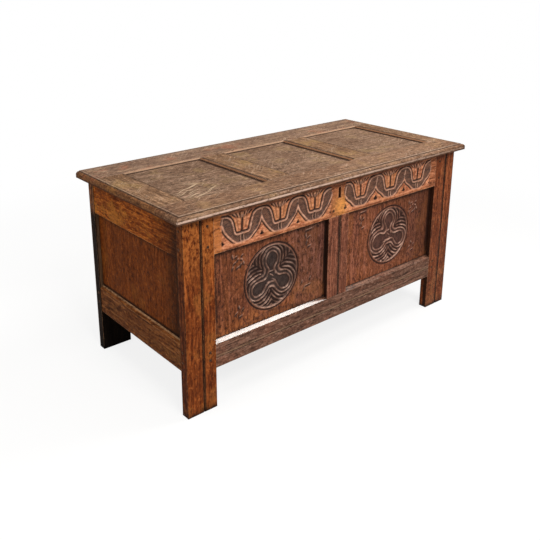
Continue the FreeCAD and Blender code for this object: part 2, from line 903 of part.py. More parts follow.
parts["front_top_rail"] = top_rail([keyhole(front, inner_front)] + lock_nail_holes)
parts["front_bottom_rail"] = bottom_rail(True, True)
parts["front_muntin"] = muntin(True, True)
parts["front_left_panel"] = frame_panel()
parts["front_right_panel"] = to_right(frame_panel())

parts["back_top_rail"] = to_back(top_rail(back_rail_cuts))
parts["back_bottom_rail"] = to_back(bottom_rail(False, False))
parts["back_muntin"] = to_back(muntin(False, False))
parts["back_left_panel"] = to_back(frame_panel())
parts["back_right_panel"] = to_back(to_right(frame_panel()))

top_side = side_rail(side_top_tenon, side_rail_bottom, leg_height, leg_height, False)
low_side = side_rail(
    side_bottom_tenon, side_bottom_rail_lift, side_sill_top, side_sill_arris, True
)
for side, placed in (("left", lambda s: s), ("right", to_right)):
    parts[side + "_top_rail"] = placed(top_side)
    parts[side + "_bottom_rail"] = placed(low_side)
    parts[side + "_panel"] = placed(side_panel())

for i, board in enumerate(bottom_boards()):
    parts["bottom_board_%d" % (i + 1)] = board

front_pegs = both_ends(frame_pegs()) + muntin_pegs()
parts["front_pegs"] = Part.makeCompound(front_pegs)
parts["back_pegs"] = Part.makeCompound([to_back(p) for p in front_pegs])
left_pegs = side_pegs() + [to_back(p) for p in side_pegs()]
parts["left_pegs"] = Part.makeCompound(left_pegs)
parts["right_pegs"] = Part.makeCompound([to_right(p) for p in left_pegs])

parts.update(lid_pieces())
parts["lid_pegs"] = Part.makeCompound(lid_pegs())

for side, x in zip(("left", "right"), hinge_places):
    parts[side + "_lid_strap"] = lid_strap(x)
    parts[side + "_back_strap"] = back_strap(x)
    parts[side + "_hinge_pin"] = hinge_pin(x)

lid_nails = [nail(p, Vector(0, 0, -1)) for x in hinge_places for p in lid_strap_nails(x)]
lid_nails += [nail(p, Vector(0, 0, -1)) for p in staple_nails()]
parts["lid_nails"] = Part.makeCompound(lid_nails)
back_nails = [nail(p, Vector(0, 1, 0)) for x in hinge_places for p in back_strap_nails(x)]
parts["back_strap_nails"] = Part.makeCompound(back_nails)
parts["lock_nails"] = Part.makeCompound([nail(p, Vector(0, 1, 0)) for p in lock_nails()])

parts["lock_plate"] = lock_plate()
parts["lock_cover"] = lock_cover()
parts["lock_bolt"] = lock_bolt()
parts["key_pin"] = key_pin()
parts["lock_staple"] = lock_staple()

os.makedirs("parts", exist_ok=True)
for name, shape in parts.items():
    shape.exportStep("parts/%s.step" % name)
    print(name, len(shape.Solids), shape.isValid(), round(shape.Volume / 1000, 1))
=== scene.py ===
import bpy
import bmesh
import math
import numpy as np
from fnmatch import fnmatch
from mathutils import Matrix, Vector


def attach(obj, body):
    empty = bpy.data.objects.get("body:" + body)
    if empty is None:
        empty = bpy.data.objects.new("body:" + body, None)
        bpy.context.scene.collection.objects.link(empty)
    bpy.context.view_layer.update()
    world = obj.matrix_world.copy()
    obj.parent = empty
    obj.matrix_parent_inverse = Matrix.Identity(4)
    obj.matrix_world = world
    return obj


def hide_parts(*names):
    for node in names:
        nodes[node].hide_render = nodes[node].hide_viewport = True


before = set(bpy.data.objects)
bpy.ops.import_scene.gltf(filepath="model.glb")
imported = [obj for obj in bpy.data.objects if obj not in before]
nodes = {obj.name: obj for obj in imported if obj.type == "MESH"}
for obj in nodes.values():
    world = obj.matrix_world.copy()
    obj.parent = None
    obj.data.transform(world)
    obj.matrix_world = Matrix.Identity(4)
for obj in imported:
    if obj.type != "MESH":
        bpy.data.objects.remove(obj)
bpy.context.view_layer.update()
scene = bpy.context.scene
scene.view_settings.view_transform = "Standard"
print("frame loaded:", len(nodes), "pieces")

# carving of the front top rail, in millimetres; cup and hem are half of one bend of the ribbon,
# as distance from the tulip's stem and height above the floor. A pair is where a slope starts and
# ends, or the place and width of a line, and heights are where a part starts, is whole, and ends
frieze = {
    "grid": (-505.0, 505.0, 509.5, 630.5),
    "cell": 1.25,
    "runs": (
        {"from": -489.0, "to": -39.0, "stems": (-411.0, -261.0, -113.0), "apex": 588.0},
        {"from": 27.0, "to": 484.0, "stems": (104.0, 258.0, 410.0), "apex": 572.0},
    ),
    "cup": ((0, 547), (18, 547), (25, 549.5), (29, 556), (33, 570), (36, 581), (40, 592), (46, 601),
            (55, 607.5), (66, 610), (80, 610.5)),
    "hem": ((0, 519), (18, 520.5), (33, 528.5), (48, 543), (60, 556), (68, 568), (73, 579), (76.5, 588)),
    "hemFoot": 543.0,  # the hem is flattened above this height where the apex is lower
    "hemTip": 588.0,
    "halfPitch": 76.0,
    "stray": 1.2,
    "lineWidth": 2.5,
    "lineFoot": (517, 522),
    "bandLip": 0.5,
    "core": (1.5, 9.0),
    "shade": (1.8, 4.2),
    "shadeFade": (5, 12),
    "trench": (5.6, 3.1),
    "underHem": (5.1, 2.8),
    "underHemFoot": (520, 526),
    "underHemReach": 77,
    "petalMargins": (3.0, 7.0),  # from the stem and from the cup's line
    "petalEdge": (6.0, 8.5),
    "petalHeights": (551, 556, 612, 619),
    "petalFullness": 0.7,
    "flute": (0.52, 0.13),
    "fluteHeights": (556, 564, 596, 604),
    "stem": (0.0, 3.7),
    "stemHeights": (522, 527, 602, 610),
    "cheek": (6.0, 1.8),
    "cheekCut": (10.0, 1.9),
    "cheekHeights": (521, 525, 541, 545),
    "nicks": (((8.0, 605.0), 84), ((19.0, 606.0), 60), ((31.0, 608.5), 38)),
    "nickSize": (12.5, 4.3),
    "rimAside": 5.6,
    "rimSize": (10.0, 2.8),
    "lap": (0.0, 1.8),
    "lapCut": (3.6, 1.8),
    "lapTops": ((611, 607), (609, 605)),
    "lapSlope": 0.22,
    "lapRise": 4,
    "lapFrom": 60,
    "wedge": {"middle": 527, "half": 11.0, "above": 17.0, "below": 5.0, "edge": (1.0, 0.6)},
    "depths": {"ground": 4.4, "grit": 0.9, "trench": 3.4, "petal": 2.2, "stem": 3.0, "cheek": 3.2,
               "nick": 2.4, "lap": 2.6, "wedge": 3.4, "flute": 1.2},
    "uneven": (0.72, 0.28),
    "topShade": (609, 616),
    "bulge": {"most": 5.0, "foot": 565, "tall": 45},  # the ends of a run bow out
    "runEnd": (-1.5, 2.5),
    "fieldHeights": (512, 517, 614, 619),
    "ochre": {"middle": (9, 541), "squash": 0.9, "width": 31.0},
}

# the two roundels: a three-lobed ribbon in a ring; a lobe is the place of its middle and its radius
roundels = {
    "front_left_panel": {
        "middle": (-281.0, 365.0),
        "radius": 112.0,
        "grid": (-446.0, -106.0, 250.0, 498.0),
        "lobes": ((0.0, 59.0, 37.0), (-56.0, -31.0, 37.0), (52.0, -31.0, 37.0)),
        "sprigs": ((-418, 448, "spray"), (-126, 458, "hook"), (-140, 288, "bar"), (-416, 284, "tuft")),
        "rubbedRim": (100, -95),  # directions in degrees
    },
    "front_right_panel": {
        "middle": (281.0, 365.0),
        "radius": 110.0,
        "grid": (112.0, 452.0, 250.0, 498.0),
        "lobes": ((0.0, 60.0, 36.0), (-52.0, -15.0, 44.0), (63.0, -25.0, 37.0)),
        "sprigs": ((134, 458, "hook"), (412, 440, "spray"), (414, 288, "tuft")),
        "rubbedRim": (128, -60),
    },
}
# slopes and lines are measured from the ring, or from the edge of the ribbon or of its border
roundelShape = {
    "cell": 1.05,
    "stray": 2.2,
    "neck": 21.0,
    "blend": 20.0,
    "border": 12.0,
    "line": 2.4,
    "insideRing": (-5, -8),
    "bead": (-6.5, 2.6),
    "ring": (0.0, 2.8),
    "core": (-2, -9),
    "borderSlopes": ((1, 5), (-1, -5)),
    "lobeOver": 16,  # how far the lower lobes' echoes lie over the upper one's
    "seam": (0, 5),
    "echo": 12.5,
    "echoFrom": (5, 9),
    "echoSharpness": 2.2,
    "echoLeast": 0.35,
    "rubbedStep": 0.8,
    "rubbedArc": 0.55,
    "depths": {"ground": 4.6, "grit": 0.9, "ring": 3.4, "sprig": 2.6},
    # short ridges where the ribbon crosses itself: place, direction in degrees, half-length
    "crossing": ((-4, 17, 8, 13), (1, 3, -38, 10), (-19, -22, 22, 10), (11, -15, -34, 11), (14, 8, -70, 8)),
    "sprigWidth": 4.0,
    "sprigRim": (2.0, 5.4, 2.8),  # place beside the stroke and width
}

# small punched sprays in the corners of the panels: offset, direction in degrees, half-length
sprigStrokes = {
    "spray": ((-21, 20, 110, 8), (-2, 6, 60, 7), (9, -14, 70, 8), (21, -9, 110, 7), (-1, -18, 20, 9),
              (-14, -2, 30, 7), (-9, 17, 20, 6), (13, 4, 150, 6), (-22, -17, 75, 7), (15, 17, 40, 6)),
    "hook": ((2, 23, 4, 20), (-11, 4, 95, 9), (2, -4, 30, 9), (-7, -21, 80, 9), (4, -35, 10, 9)),
    "bar": ((14, -4, 5, 18), (-12, 14, 80, 8), (-2, -14, 60, 9), (24, 18, 70, 7)),
    "tuft": ((-11, -8, 40, 9), (0, 11, 110, 7), (13, -2, 60, 8), (6, -21, 20, 9)),
}


def smoothStep(low, high, value):
    t = np.clip((value - low) / (high - low), 0.0, 1.0)
    return t * t * (3.0 - 2.0 * t)


def between(value, heights):
    low, whole, wholeEnd, high = heights
    return smoothStep(low, whole, value) * smoothStep(high, wholeEnd, value)


def bell(distance, width):
    return np.exp(-((distance / width) ** 2))


def line(distance, place, width):
    return bell(distance - place, width)


def softUnion(a, b, k):
    h = np.clip(0.5 + 0.5 * (b - a) / k, 0.0, 1.0)
    return b * (1 - h) + a * h - k * h * (1 - h)


def most(*masks):
    return np.maximum.reduce(masks)


def smoothPath(points, steps=6):
    p = [np.array(q, float) for q in points]
    p = [2 * p[0] - p[1]] + p + [2 * p[-1] - p[-2]]
    curve = []
    for a, b, c, d in zip(p, p[1:], p[2:], p[3:]):
        for i in range(steps):
            t = i / steps
            square = (2 * a - 5 * b + 4 * c - d) * t**2
            curve.append(0.5 * (2 * b + (c - a) * t + square + (3 * b - a - 3 * c + d) * t**3))
    curve.append(p[-2])
    return np.array(curve)


def distanceToPath(u, v, path):
    best = np.full(u.shape, np.inf)
    for (ax, az), (bx, bz) in zip(path, path[1:]):
        dx, dz = bx - ax, bz - az
        t = np.clip(((u - ax) * dx + (v - az) * dz) / (dx * dx + dz * dz + 1e-9), 0, 1)
        best = np.minimum(best, np.hypot(u - ax - t * dx, v - az - t * dz))
    return best


# one leaf-shaped gouge cut, as a mask
def gouge(u, v, middle, angle, length, width):
    a = math.radians(angle)
    du, dv = u - middle[0], v - middle[1]
    along = (du * math.cos(a) + dv * math.sin(a)) / length
    across = (-du * math.sin(a) + dv * math.cos(a)) / width
    return np.exp(-((along**4) + across**2) * 2.2)


# the slow drift of a hand-held gouge, and how far it strays across and up
def drift(x, z):
    slow = np.sin(x * 0.071 + z * 0.043) + np.sin(x * 0.031 - z * 0.089 + 1.7)
    return (slow + 0.6 * np.sin(x * 0.19 + z * 0.13)) / 2.6


def strayed(u, v, x, z, farthest):
    return u + farthest * drift(x, z), v + farthest * drift(z + 40, x)


# sunk ground matted with a toothed punch
def punching(x, z):
    return np.clip(np.sin(x * 1.15 + 1.3 * np.sin(z * 0.31)) * np.sin(z * 1.2 + 1.1 * np.sin(x * 0.27)), 0, 1)


# the scrolling ribbon with a tulip in each bend
def carveFrieze(x, z, s):
    deep = s["depths"]
    cup = smoothPath(s["cup"])
    depth, dark, light, warm, black = (np.zeros(x.shape) for i in range(5))
    grit = punching(x, z)
    for run in s["runs"]:
        apex = run["apex"]
        squeeze = (apex - s["hemFoot"]) / (s["hemTip"] - s["hemFoot"])
        hem = smoothPath([(a, b + (squeeze - 1) * max(0, b - s["hemFoot"])) for a, b in s["hem"]])
        stem = np.array(run["stems"])[np.argmin([np.abs(x - q) for q in run["stems"]], axis=0)]
        signed, v = strayed(x - stem, z, x, z, s["stray"])
        u = np.abs(signed)
        toCup, toHem = distanceToPath(u, v, cup), distanceToPath(u, v, hem)
        cupTop = np.interp(u, cup[:, 0], cup[:, 1])
        inCup = (np.interp(v, cup[:, 1], cup[:, 0], left=-1) > u) & (v > s["cup"][0][1])
        below = v < np.interp(u, hem[:, 0], hem[:, 1], right=apex)
        inBand = ~inCup & ~below & (v < cupTop + s["bandLip"])
        inner = np.minimum(toCup, toHem)
        core = inBand * smoothStep(*s["core"], inner)
        shade = inBand * smoothStep(*s["shade"], inner) * (1 - 0.15 * smoothStep(*s["shadeFade"], inner))
        ridgeCup = bell(toCup, s["lineWidth"])
        ridgeHem = bell(toHem, s["lineWidth"]) * smoothStep(*s["lineFoot"], v)
        trench = (inCup | (v > cupTop)) * line(toCup, *s["trench"])
        underHem = (below & (u < s["underHemReach"])) * line(toHem, *s["underHem"])
        trench = most(trench, underHem * smoothStep(*s["underHemFoot"], v))
        # a flute each side of the stem
        nearStem, nearCup = s["petalMargins"]
        reach = np.maximum(u + toCup - nearCup - nearStem, 1.0)
        across = np.clip((u - nearStem) / reach, 0, 1)
        petal = inCup * smoothStep(*s["petalEdge"], toCup) * between(v, s["petalHeights"])
        hollow = petal * np.sin(np.pi * across) ** s["petalFullness"]
        flute = petal * line(across, *s["flute"]) * between(v, s["fluteHeights"])
        stemCut = line(u, *s["stem"]) * between(v, s["stemHeights"])
        cheek = line(u, *s["cheek"]) * between(v, s["cheekHeights"])
        cheekCut = line(u, *s["cheekCut"]) * between(v, s["cheekHeights"])
        # nicked petals flare over the cup
        nick = most(*(gouge(u, v, q, angle, *s["nickSize"]) for q, angle in s["nicks"])) * inCup
        rims = (gouge(u + s["rimAside"], v, q, angle, *s["rimSize"]) for q, angle in s["nicks"])
        rim = most(*rims) * inCup
        # the lap where one bend passes over the next
        fromArch = np.where(signed > 0, u - s["halfPitch"], s["halfPitch"] - u)
        lapLine = fromArch - s["lapSlope"] * (v - apex)
        nearArch = smoothStep(apex - s["lapRise"], apex, v) * (u > s["lapFrom"])
        lap = line(lapLine, *s["lap"]) * nearArch * smoothStep(*s["lapTops"][0], v)
        lapCut = line(lapLine, *s["lapCut"]) * nearArch * smoothStep(*s["lapTops"][1], v)
        # a wedge punched between the bends
        wedge = s["wedge"]
        upward = v - wedge["middle"]
        fromWedge = np.maximum(upward / wedge["above"], -upward / wedge["below"])
        fromWedge += np.abs(fromArch) / wedge["half"]
        punch = smoothStep(*wedge["edge"], fromWedge) * (u > s["lapFrom"])
        cut = (deep["ground"] - deep["grit"] * grit) * core + deep["trench"] * trench * (1 - 0.6 * core)
        cut = most(cut + deep["petal"] * hollow + deep["stem"] * stemCut, deep["cheek"] * cheekCut)
        cut += deep["nick"] * nick + deep["lap"] * lapCut + deep["wedge"] * punch + deep["flute"] * flute
        raised = most(ridgeCup, ridgeHem, lap, 0.8 * cheek)
        cut *= 1 - 0.9 * raised
        # colours: soot in the cuts, dirt on the ground, ridges rubbed pale, and a painted shadow of the lid
        # along the top
        soot = most(trench, stemCut, nick, lapCut, punch, 0.9 * cheekCut, 0.3 * flute)
        least, more = s["uneven"]
        glow = most(raised * (least + more * drift(1.3 * x + 50, 1.6 * z)), 0.5 * rim, 0.3 * core * grit)
        tone = most(0.92 * shade, soot) * (1 - 0.9 * np.minimum(glow, 1))
        # painted shadow of the lid's overhang, darkening the top of the rail
        tone = most(tone, 0.6 * smoothStep(*s["topShade"], v) * (1 - glow))
        soot = soot * (1 - np.minimum(1.2 * glow, 1))
        bulge = s["bulge"]
        bowed = bulge["most"] * np.sin(np.clip((v - bulge["foot"]) / bulge["tall"], 0, 1) * np.pi)
        gate = smoothStep(*s["runEnd"], x - run["from"] + bowed) * between(z, s["fieldHeights"])
        gate *= smoothStep(*s["runEnd"], run["to"] - x + bowed)
        depth += cut * gate
        dark = most(dark, tone * gate)
        light = most(light, glow * gate)
        warm = most(warm, most(petal * (1 - stemCut), 0.75 * below) * gate)
        black = most(black, soot * gate)
    midX, midZ = s["ochre"]["middle"]
    ochre = bell(np.hypot(x - midX, (z - midZ) * s["ochre"]["squash"]), s["ochre"]["width"])
    return depth, dark, light, warm, ochre, black


# signed distance to the edge of the three-lobed ribbon, and to each of its lobes
def lobeGaps(u, v, s):
    knot = None
    gaps = []
    for cx, cz, radius in s["lobes"]:
        lobe = np.hypot(u - cx, v - cz) - radius
        gaps.append(lobe)
        neck = distanceToPath(u, v, [(0, 0), (cx, cz)]) - s["neck"]
        lobe = softUnion(lobe, neck, s["blend"])
        knot = lobe if knot is None else softUnion(knot, lobe, s["blend"])
    return knot, gaps


# the ribbon in its ring, with echoes of its lobes in the gaps
def carveRoundel(x, z, s):
    deep = s["depths"]
    u, v = x - s["middle"][0], z - s["middle"][1]
    beyond = np.hypot(u, v) - s["radius"]
    way = np.arctan2(v, u)
    u, v = strayed(u, v, x, z, s["stray"])
    knot, lobes = lobeGaps(u, v, s)
    inRing = smoothStep(*s["insideRing"], beyond)
    lines = most(bell(knot, s["line"]), bell(knot + s["border"], s["line"]))
    low = np.minimum(lobes[1], lobes[2])
    lobeLine = low - lobes[0] - s["lobeOver"]
    echo = np.where(lobeLine < 0, low, lobes[0])
    wave = np.cos(2 * np.pi * echo / s["echo"]) * 0.5 + 0.5
    patchy = np.clip(0.6 + 0.6 * drift(1.7 * x + 30, 1.9 * z), 0, 1)
    echoes = wave ** s["echoSharpness"] * smoothStep(*s["seam"], np.abs(lobeLine))
    echoes *= smoothStep(*s["echoFrom"], knot) * (s["echoLeast"] + (1 - s["echoLeast"]) * patchy)
    crossing = most(*(gouge(u, v, (dx, dz), *stroke, s["line"]) for dx, dz, *stroke in s["crossing"]))
    raised = np.clip(most(lines, echoes, crossing), 0, 1)
    core = smoothStep(*s["core"], knot + s["border"])
    inner, outer = s["borderSlopes"]
    border = smoothStep(*inner, knot + s["border"]) * smoothStep(*outer, knot)
    bead = line(beyond, *s["bead"])
    ring = line(beyond, *s["ring"])
    ground = deep["ground"] * (1 - 0.35 * border) - deep["grit"] * punching(x, z) * core
    depth = inRing * ground * (1 - most(raised, 0.9 * bead)) + deep["ring"] * ring
    dark = most(inRing * (1 - 0.5 * most(raised, 0.7 * bead)), ring)
    black = most(inRing * smoothStep(0.45, 0.1, raised) * (1 - 0.75 * core) * (1 - 0.5 * border), ring)
    # rubbed pale in patches, with a painted highlight where a ridge lies across as if lit from above, and
    # painted highlights on the ring's bead in given directions
    step = s["rubbedStep"]
    lies = np.abs(lobeGaps(u, v + step, s)[0] - lobeGaps(u, v - step, s)[0]) / (2 * step)
    rubbed = 0.03 + 0.1 * patchy + 1.3 * lies**1.5 * patchy**2
    light = most(lines * (rubbed + 0.12), echoes * rubbed, 0.7 * crossing) * inRing
    rim = most(*(bell(way - math.radians(q), s["rubbedArc"]) for q in s["rubbedRim"]))
    light = most(light, bead * (0.15 + 0.85 * rim))
    aside, above, rimWidth = s["sprigRim"]
    for px, pz, kind in s["sprigs"]:
        for dx, dz, angle, length in sprigStrokes[kind]:
            nick = gouge(x, z, (px + dx, pz + dz), angle, length, s["sprigWidth"])
            rim = gouge(x, z, (px + dx + aside, pz + dz + above), angle, length, rimWidth)
            depth += deep["sprig"] * nick
            dark = most(dark, 0.95 * nick)
            black = most(black, 0.8 * nick)
            light = most(light, 0.7 * rim * (1 - nick))
    return depth, dark, np.clip(light, 0, 1), np.zeros(x.shape), np.zeros(x.shape), black


# middle and half-size of each separate loop among the edges
def loopBoxes(edges):
    left = set(edges)
    found = []
    while left:
        group = [left.pop()]
        for e in group:
            for v in e.verts:
                for other in v.link_edges:
                    if other in left:
                        left.discard(other)
                        group.append(other)
        xs = [v.co.x for e in group for v in e.verts]
        zs = [v.co.z for e in group for v in e.verts]
        middle = ((min(xs) + max(xs)) / 2, (min(zs) + max(zs)) / 2)
        found.append((*middle, (max(xs) - min(xs)) / 2, (max(zs) - min(zs)) / 2))
    return found


# in metres; room is left free round a hole in the face
carvedSkin = {
    "merge": 0.00002,
    "flat": 0.00003,
    "room": 0.0008,
    "masks": ("Dark", "Light", "Warm", "Ochre", "Black"),
}


# a merged copy of a CAD piece, its flat front opened and closed again with a carved skin
def carvedCopy(nodeName, carve, s):
    x0, x1, z0, z1 = [q / 1000 for q in s["grid"]]
    bm = bmesh.new()
    bm.from_mesh(nodes[nodeName].data)
    bmesh.ops.remove_doubles(bm, verts=bm.verts, dist=carvedSkin["merge"])
    front = min(v.co.y for v in bm.verts)
    flat = [f for f in bm.faces if all(abs(v.co.y - front) < carvedSkin["flat"] for v in f.verts)]
    bmesh.ops.delete(bm, geom=flat, context="FACES_ONLY")
    bmesh.ops.delete(bm, geom=[e for e in bm.edges if not e.link_faces], context="EDGES")
    rim = [e for e in bm.edges if e.is_boundary]
    inside = [e for e in rim if all(x0 < v.co.x < x1 and z0 < v.co.z < z1 for v in e.verts)]
    layers = [bm.verts.layers.float.new("carve" + mask) for mask in carvedSkin["masks"]]
    old = set(bm.verts)
    cells = [max(2, round((b - a) * 1000 / s["cell"])) for a, b in ((x0, x1), (z0, z1))]
    place = Matrix.Translation(((x0 + x1) / 2, front, (z0 + z1) / 2)) @ Matrix.Rotation(math.pi / 2, 4, "X")
    place = place @ Matrix.Diagonal(((x1 - x0) / 2, (z1 - z0) / 2, 1, 1))
    bmesh.ops.create_grid(bm, x_segments=cells[0], y_segments=cells[1], size=1, matrix=place)
    skin = [v for v in bm.verts if v not in old]
    room = carvedSkin["room"]
    inTheWay = set()
    for cx, cz, halfX, halfZ in loopBoxes(inside):
        nearX, nearZ = halfX + room, halfZ + room
        inTheWay.update(v for v in skin if abs(v.co.x - cx) < nearX and abs(v.co.z - cz) < nearZ)
    if inTheWay:
        bmesh.ops.delete(bm, geom=list(inTheWay), context="VERTS")
        skin = [v for v in skin if v.is_valid]
    x = np.array([v.co.x for v in skin]) * 1000
    z = np.array([v.co.z for v in skin]) * 1000
    depth, *masks = carve(x, z, s)
    depth = np.where([v.is_boundary for v in skin], 0, depth)
    for i, v in enumerate(skin):
        v.co.y += depth[i] / 1000
        for layer, mask in zip(layers, masks):
            v[layer] = float(mask[i])
        for f in v.link_faces:
            f.smooth = True
    rim = [e for e in bm.edges if e.is_boundary]
    bmesh.ops.triangle_fill(bm, use_beauty=True, use_dissolve=False, edges=rim, normal=(0, -1, 0))
    bmesh.ops.recalc_face_normals(bm, faces=bm.faces)
    openEdges = sum(1 for e in bm.edges if not e.is_manifold)
    mesh = bpy.data.meshes.new(nodeName + "_carved")
    bm.to_mesh(mesh)
    bm.free()
    piece = bpy.data.objects.new(nodeName + "_carved", mesh)
    scene.collection.objects.link(piece)
    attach(piece, "carcase")
    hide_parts(nodeName)
    print(nodeName, "carved:", len(mesh.polygons), "faces,", openEdges, "open edges")
    return piece


def newGroup(name, inputs, outputs):
    group = bpy.data.node_groups.new(name, "ShaderNodeTree")
    for kind, label in inputs:
        group.interface.new_socket(name=label, in_out="INPUT", socket_type="NodeSocket" + kind)
    for kind, label in outputs:
        group.interface.new_socket(name=label, in_out="OUTPUT", socket_type="NodeSocket" + kind)
    return group, group.nodes.new("NodeGroupInput").outputs, group.nodes.new("NodeGroupOutput").inputs


def newMaterial(name):
    material = bpy.data.materials.new(name)
    material.use_nodes = True
    material.node_tree.nodes.clear()
    return material, material.node_tree


# a number or colour is set on its socket, and another socket is linked to it
def fill(socket, value):
    if isinstance(value, bpy.types.NodeSocket):
        socket.id_data.links.new(value, socket)
    elif socket.type == "RGBA":
        socket.default_value = (*value, 1.0)
    else:
        socket.default_value = value


def addNode(tree, kind, inputs=None, **settings):
    node = tree.nodes.new(kind)
    for key, value in settings.items():
        setattr(node, key, value)
    for key, value in (inputs or {}).items():
        fill(node.inputs[key], value)
    return node


# the tree that the sockets among some values are in
def treeOf(*values):
    return next(q for q in values if isinstance(q, bpy.types.NodeSocket)).id_data


def calculate(operation, *values):
    return addNode(treeOf(*values), "ShaderNodeMath", dict(enumerate(values)), operation=operation).outputs[0]


def plus(a, b):
    return calculate("ADD", a, b)


def minus(a, b):
    return calculate("SUBTRACT", a, b)


def absolute(value):
    return calculate("ABSOLUTE", value)


def product(first, *others):
    for other in others:
        first = calculate("MULTIPLY", first, other)
    return first


def vectorMath(operation, *values):
    node = addNode(treeOf(*values), "ShaderNodeVectorMath", dict(enumerate(values)), operation=operation)
    return node.outputs["Value" if operation in ("DOT_PRODUCT", "DISTANCE", "LENGTH") else "Vector"]


def remap(source, low, high, toLow=0.0, toHigh=1.0):
    inputs = {"Value": source, "From Min": low, "From Max": high, "To Min": toLow, "To Max": toHigh}
    return addNode(source.id_data, "ShaderNodeMapRange", inputs, interpolation_type="SMOOTHSTEP").outputs[0]


def mixColour(factor, a, b, blend="MIX"):
    inputs = {0: factor, 6: a, 7: b}
    tree = treeOf(factor, a, b)
    return addNode(tree, "ShaderNodeMix", inputs, data_type="RGBA", blend_type=blend).outputs[2]


def noise(where, scale, detail=2.0, roughness=0.5, distortion=0.0, output=0):
    inputs = {"Scale": scale, "Detail": detail, "Roughness": roughness, "Distortion": distortion}
    inputs["Vector"] = where
    return addNode(where.id_data, "ShaderNodeTexNoise", inputs).outputs[output]


# figure, streaks, flecks, pores and stains that run along the grain: each is noise with a scale, detail,
# roughness and distortion, stretched fully or by half along it or not at all, and cut off by a slope
grainLook = {
    "apart": 3.17,  # how far one seed lies from the next
    "bend": (7.0, 2.0),
    "bendBy": 0.02,
    "specks": {"scale": 95.0, "size": (0.2, 0.1), "noise": (21.0, 3.0), "sparse": (0.52, 0.6)},
    "patterns": {
        "Figure": {"over": "along", "noise": (26.0, 4.0, 0.5, 0.6)},
        "Streak": {"over": "along", "noise": (130.0, 7.0, 0.68)},
        "Fleck": {"over": "short", "noise": (190.0, 3.0, 0.55), "slope": (0.56, 0.66)},
        "Pore": {"over": "along", "noise": (620.0, 2.0), "slope": (0.56, 0.7)},
        "Stain": {"over": "moved", "noise": (9.0, 6.0, 0.62)},
        "Mottle": {"over": "short", "noise": (115.0, 6.0, 0.75)},
    },
}


def buildOakGrain():
    look = grainLook
    inputs = (("Vector", "Vector"), ("Vector", "Stretch"), ("Float", "Seed"))
    group, given, made = newGroup("oakGrain", inputs, [("Float", n) for n in (*look["patterns"], "Speck")])
    seed = product(given["Seed"], look["apart"])
    shift = addNode(group, "ShaderNodeCombineXYZ", {0: seed, 1: seed, 2: seed}).outputs[0]
    moved = vectorMath("ADD", given["Vector"], shift)
    bend = vectorMath("MULTIPLY", noise(moved, *look["bend"], output="Color"), (look["bendBy"],) * 3)
    bent = vectorMath("ADD", moved, bend)
    along = vectorMath("MULTIPLY", bent, given["Stretch"])
    short = vectorMath("ADD", *(vectorMath("MULTIPLY", q, (0.5, 0.5, 0.5)) for q in (along, bent)))
    over = {"moved": moved, "along": along, "short": short}
    for name, pattern in look["patterns"].items():
        value = noise(over[pattern["over"]], *pattern["noise"])
        if "slope" in pattern:
            value = remap(value, *pattern["slope"])
        group.links.new(value, made[name])
    specks = look["specks"]
    inputs = {"Vector": short, "Scale": specks["scale"]}
    cells = addNode(group, "ShaderNodeTexVoronoi", inputs).outputs["Distance"]
    sparse = remap(noise(moved, *specks["noise"]), *specks["sparse"])
    group.links.new(product(remap(cells, *specks["size"]), sparse), made["Speck"])
    return group


# rubbed arrises, their rounded normal, and darkening in corners that is grime and painted shade in one
wearLook = {
    "reach": 0.045,
    "outward": (0.6, 0.9),
    "turned": (0.995, 0.84),
    "breakup": (0.36, 0.56),
    "hollow": (0.86, 0.3),
}


def buildWear():
    look = wearLook
    outputs = (("Float", "Edge"), ("Float", "Hollow"), ("Vector", "Soft Normal"))
    group, given, made = newGroup("wearAndGrime", (("Float", "Radius"), ("Float", "Breakup")), outputs)
    bevel = addNode(group, "ShaderNodeBevel", {"Radius": given["Radius"]}, samples=6).outputs[0]
    turned = vectorMath("DOT_PRODUCT", bevel, addNode(group, "ShaderNodeNewGeometry").outputs["Normal"])
    shade = addNode(group, "ShaderNodeAmbientOcclusion", {"Distance": look["reach"]}, samples=8).outputs["AO"]
    rubbed = product(remap(turned, *look["turned"]), remap(shade, *look["outward"]))
    group.links.new(product(rubbed, remap(given["Breakup"], *look["breakup"])), made["Edge"])
    # grime and painted shade: darker where the surface is closed in
    group.links.new(remap(shade, *look["hollow"]), made["Hollow"])
    group.links.new(bevel, made["Soft Normal"])
    return group


# a band of depths behind a face: the walls of recesses and the floors of run channels
def buildBand(soft=0.0006):
    inputs = [("Float", n) for n in ("Behind", "From", "To")]
    group, given, made = newGroup("depthBand", inputs, [("Float", "Mask")])
    enter = calculate("DIVIDE", minus(given["Behind"], given["From"]), soft)
    leave = calculate("DIVIDE", minus(given["To"], given["Behind"]), soft)
    group.links.new(product(remap(enter, 0.0, 1.0), remap(leave, 0.0, 1.0)), made["Mask"])
    return group


# fine crossed scratches and knife marks
scratchLook = {
    "waves": (5.0, 2.0),
    "waveBy": 0.06,
    "stretch": (0.045, 1.0, 1.0),
    "marks": (0.6, 0.68),
    "gaps": (9.0, 3.0),
    "gapSlope": (0.44, 0.6),
}


def buildScratches():
    look = scratchLook
    inputs = (("Vector", "Vector"), ("Float", "Turn"), ("Float", "Fineness"))
    group, given, made = newGroup("scratches", inputs, (("Float", "Everywhere"), ("Float", "Scattered")))
    where = given["Vector"]
    axis = addNode(group, "ShaderNodeVectorRotate", {"Vector": where, "Angle": given["Turn"]}).outputs[0]
    bend = product(noise(where, *look["waves"]), look["waveBy"])
    bent = vectorMath("ADD", axis, addNode(group, "ShaderNodeCombineXYZ", {1: bend}).outputs[0])
    marks = noise(vectorMath("MULTIPLY", bent, look["stretch"]), given["Fineness"], 1.0)
    marks = remap(marks, *look["marks"])
    group.links.new(marks, made["Everywhere"])
    group.links.new(product(marks, remap(noise(where, *look["gaps"]), *look["gapSlope"])), made["Scattered"])
    return group


oakGrain = buildOakGrain()
wearAndGrime = buildWear()
depthBand = buildBand()
scratches = buildScratches()
print("shader groups ready")

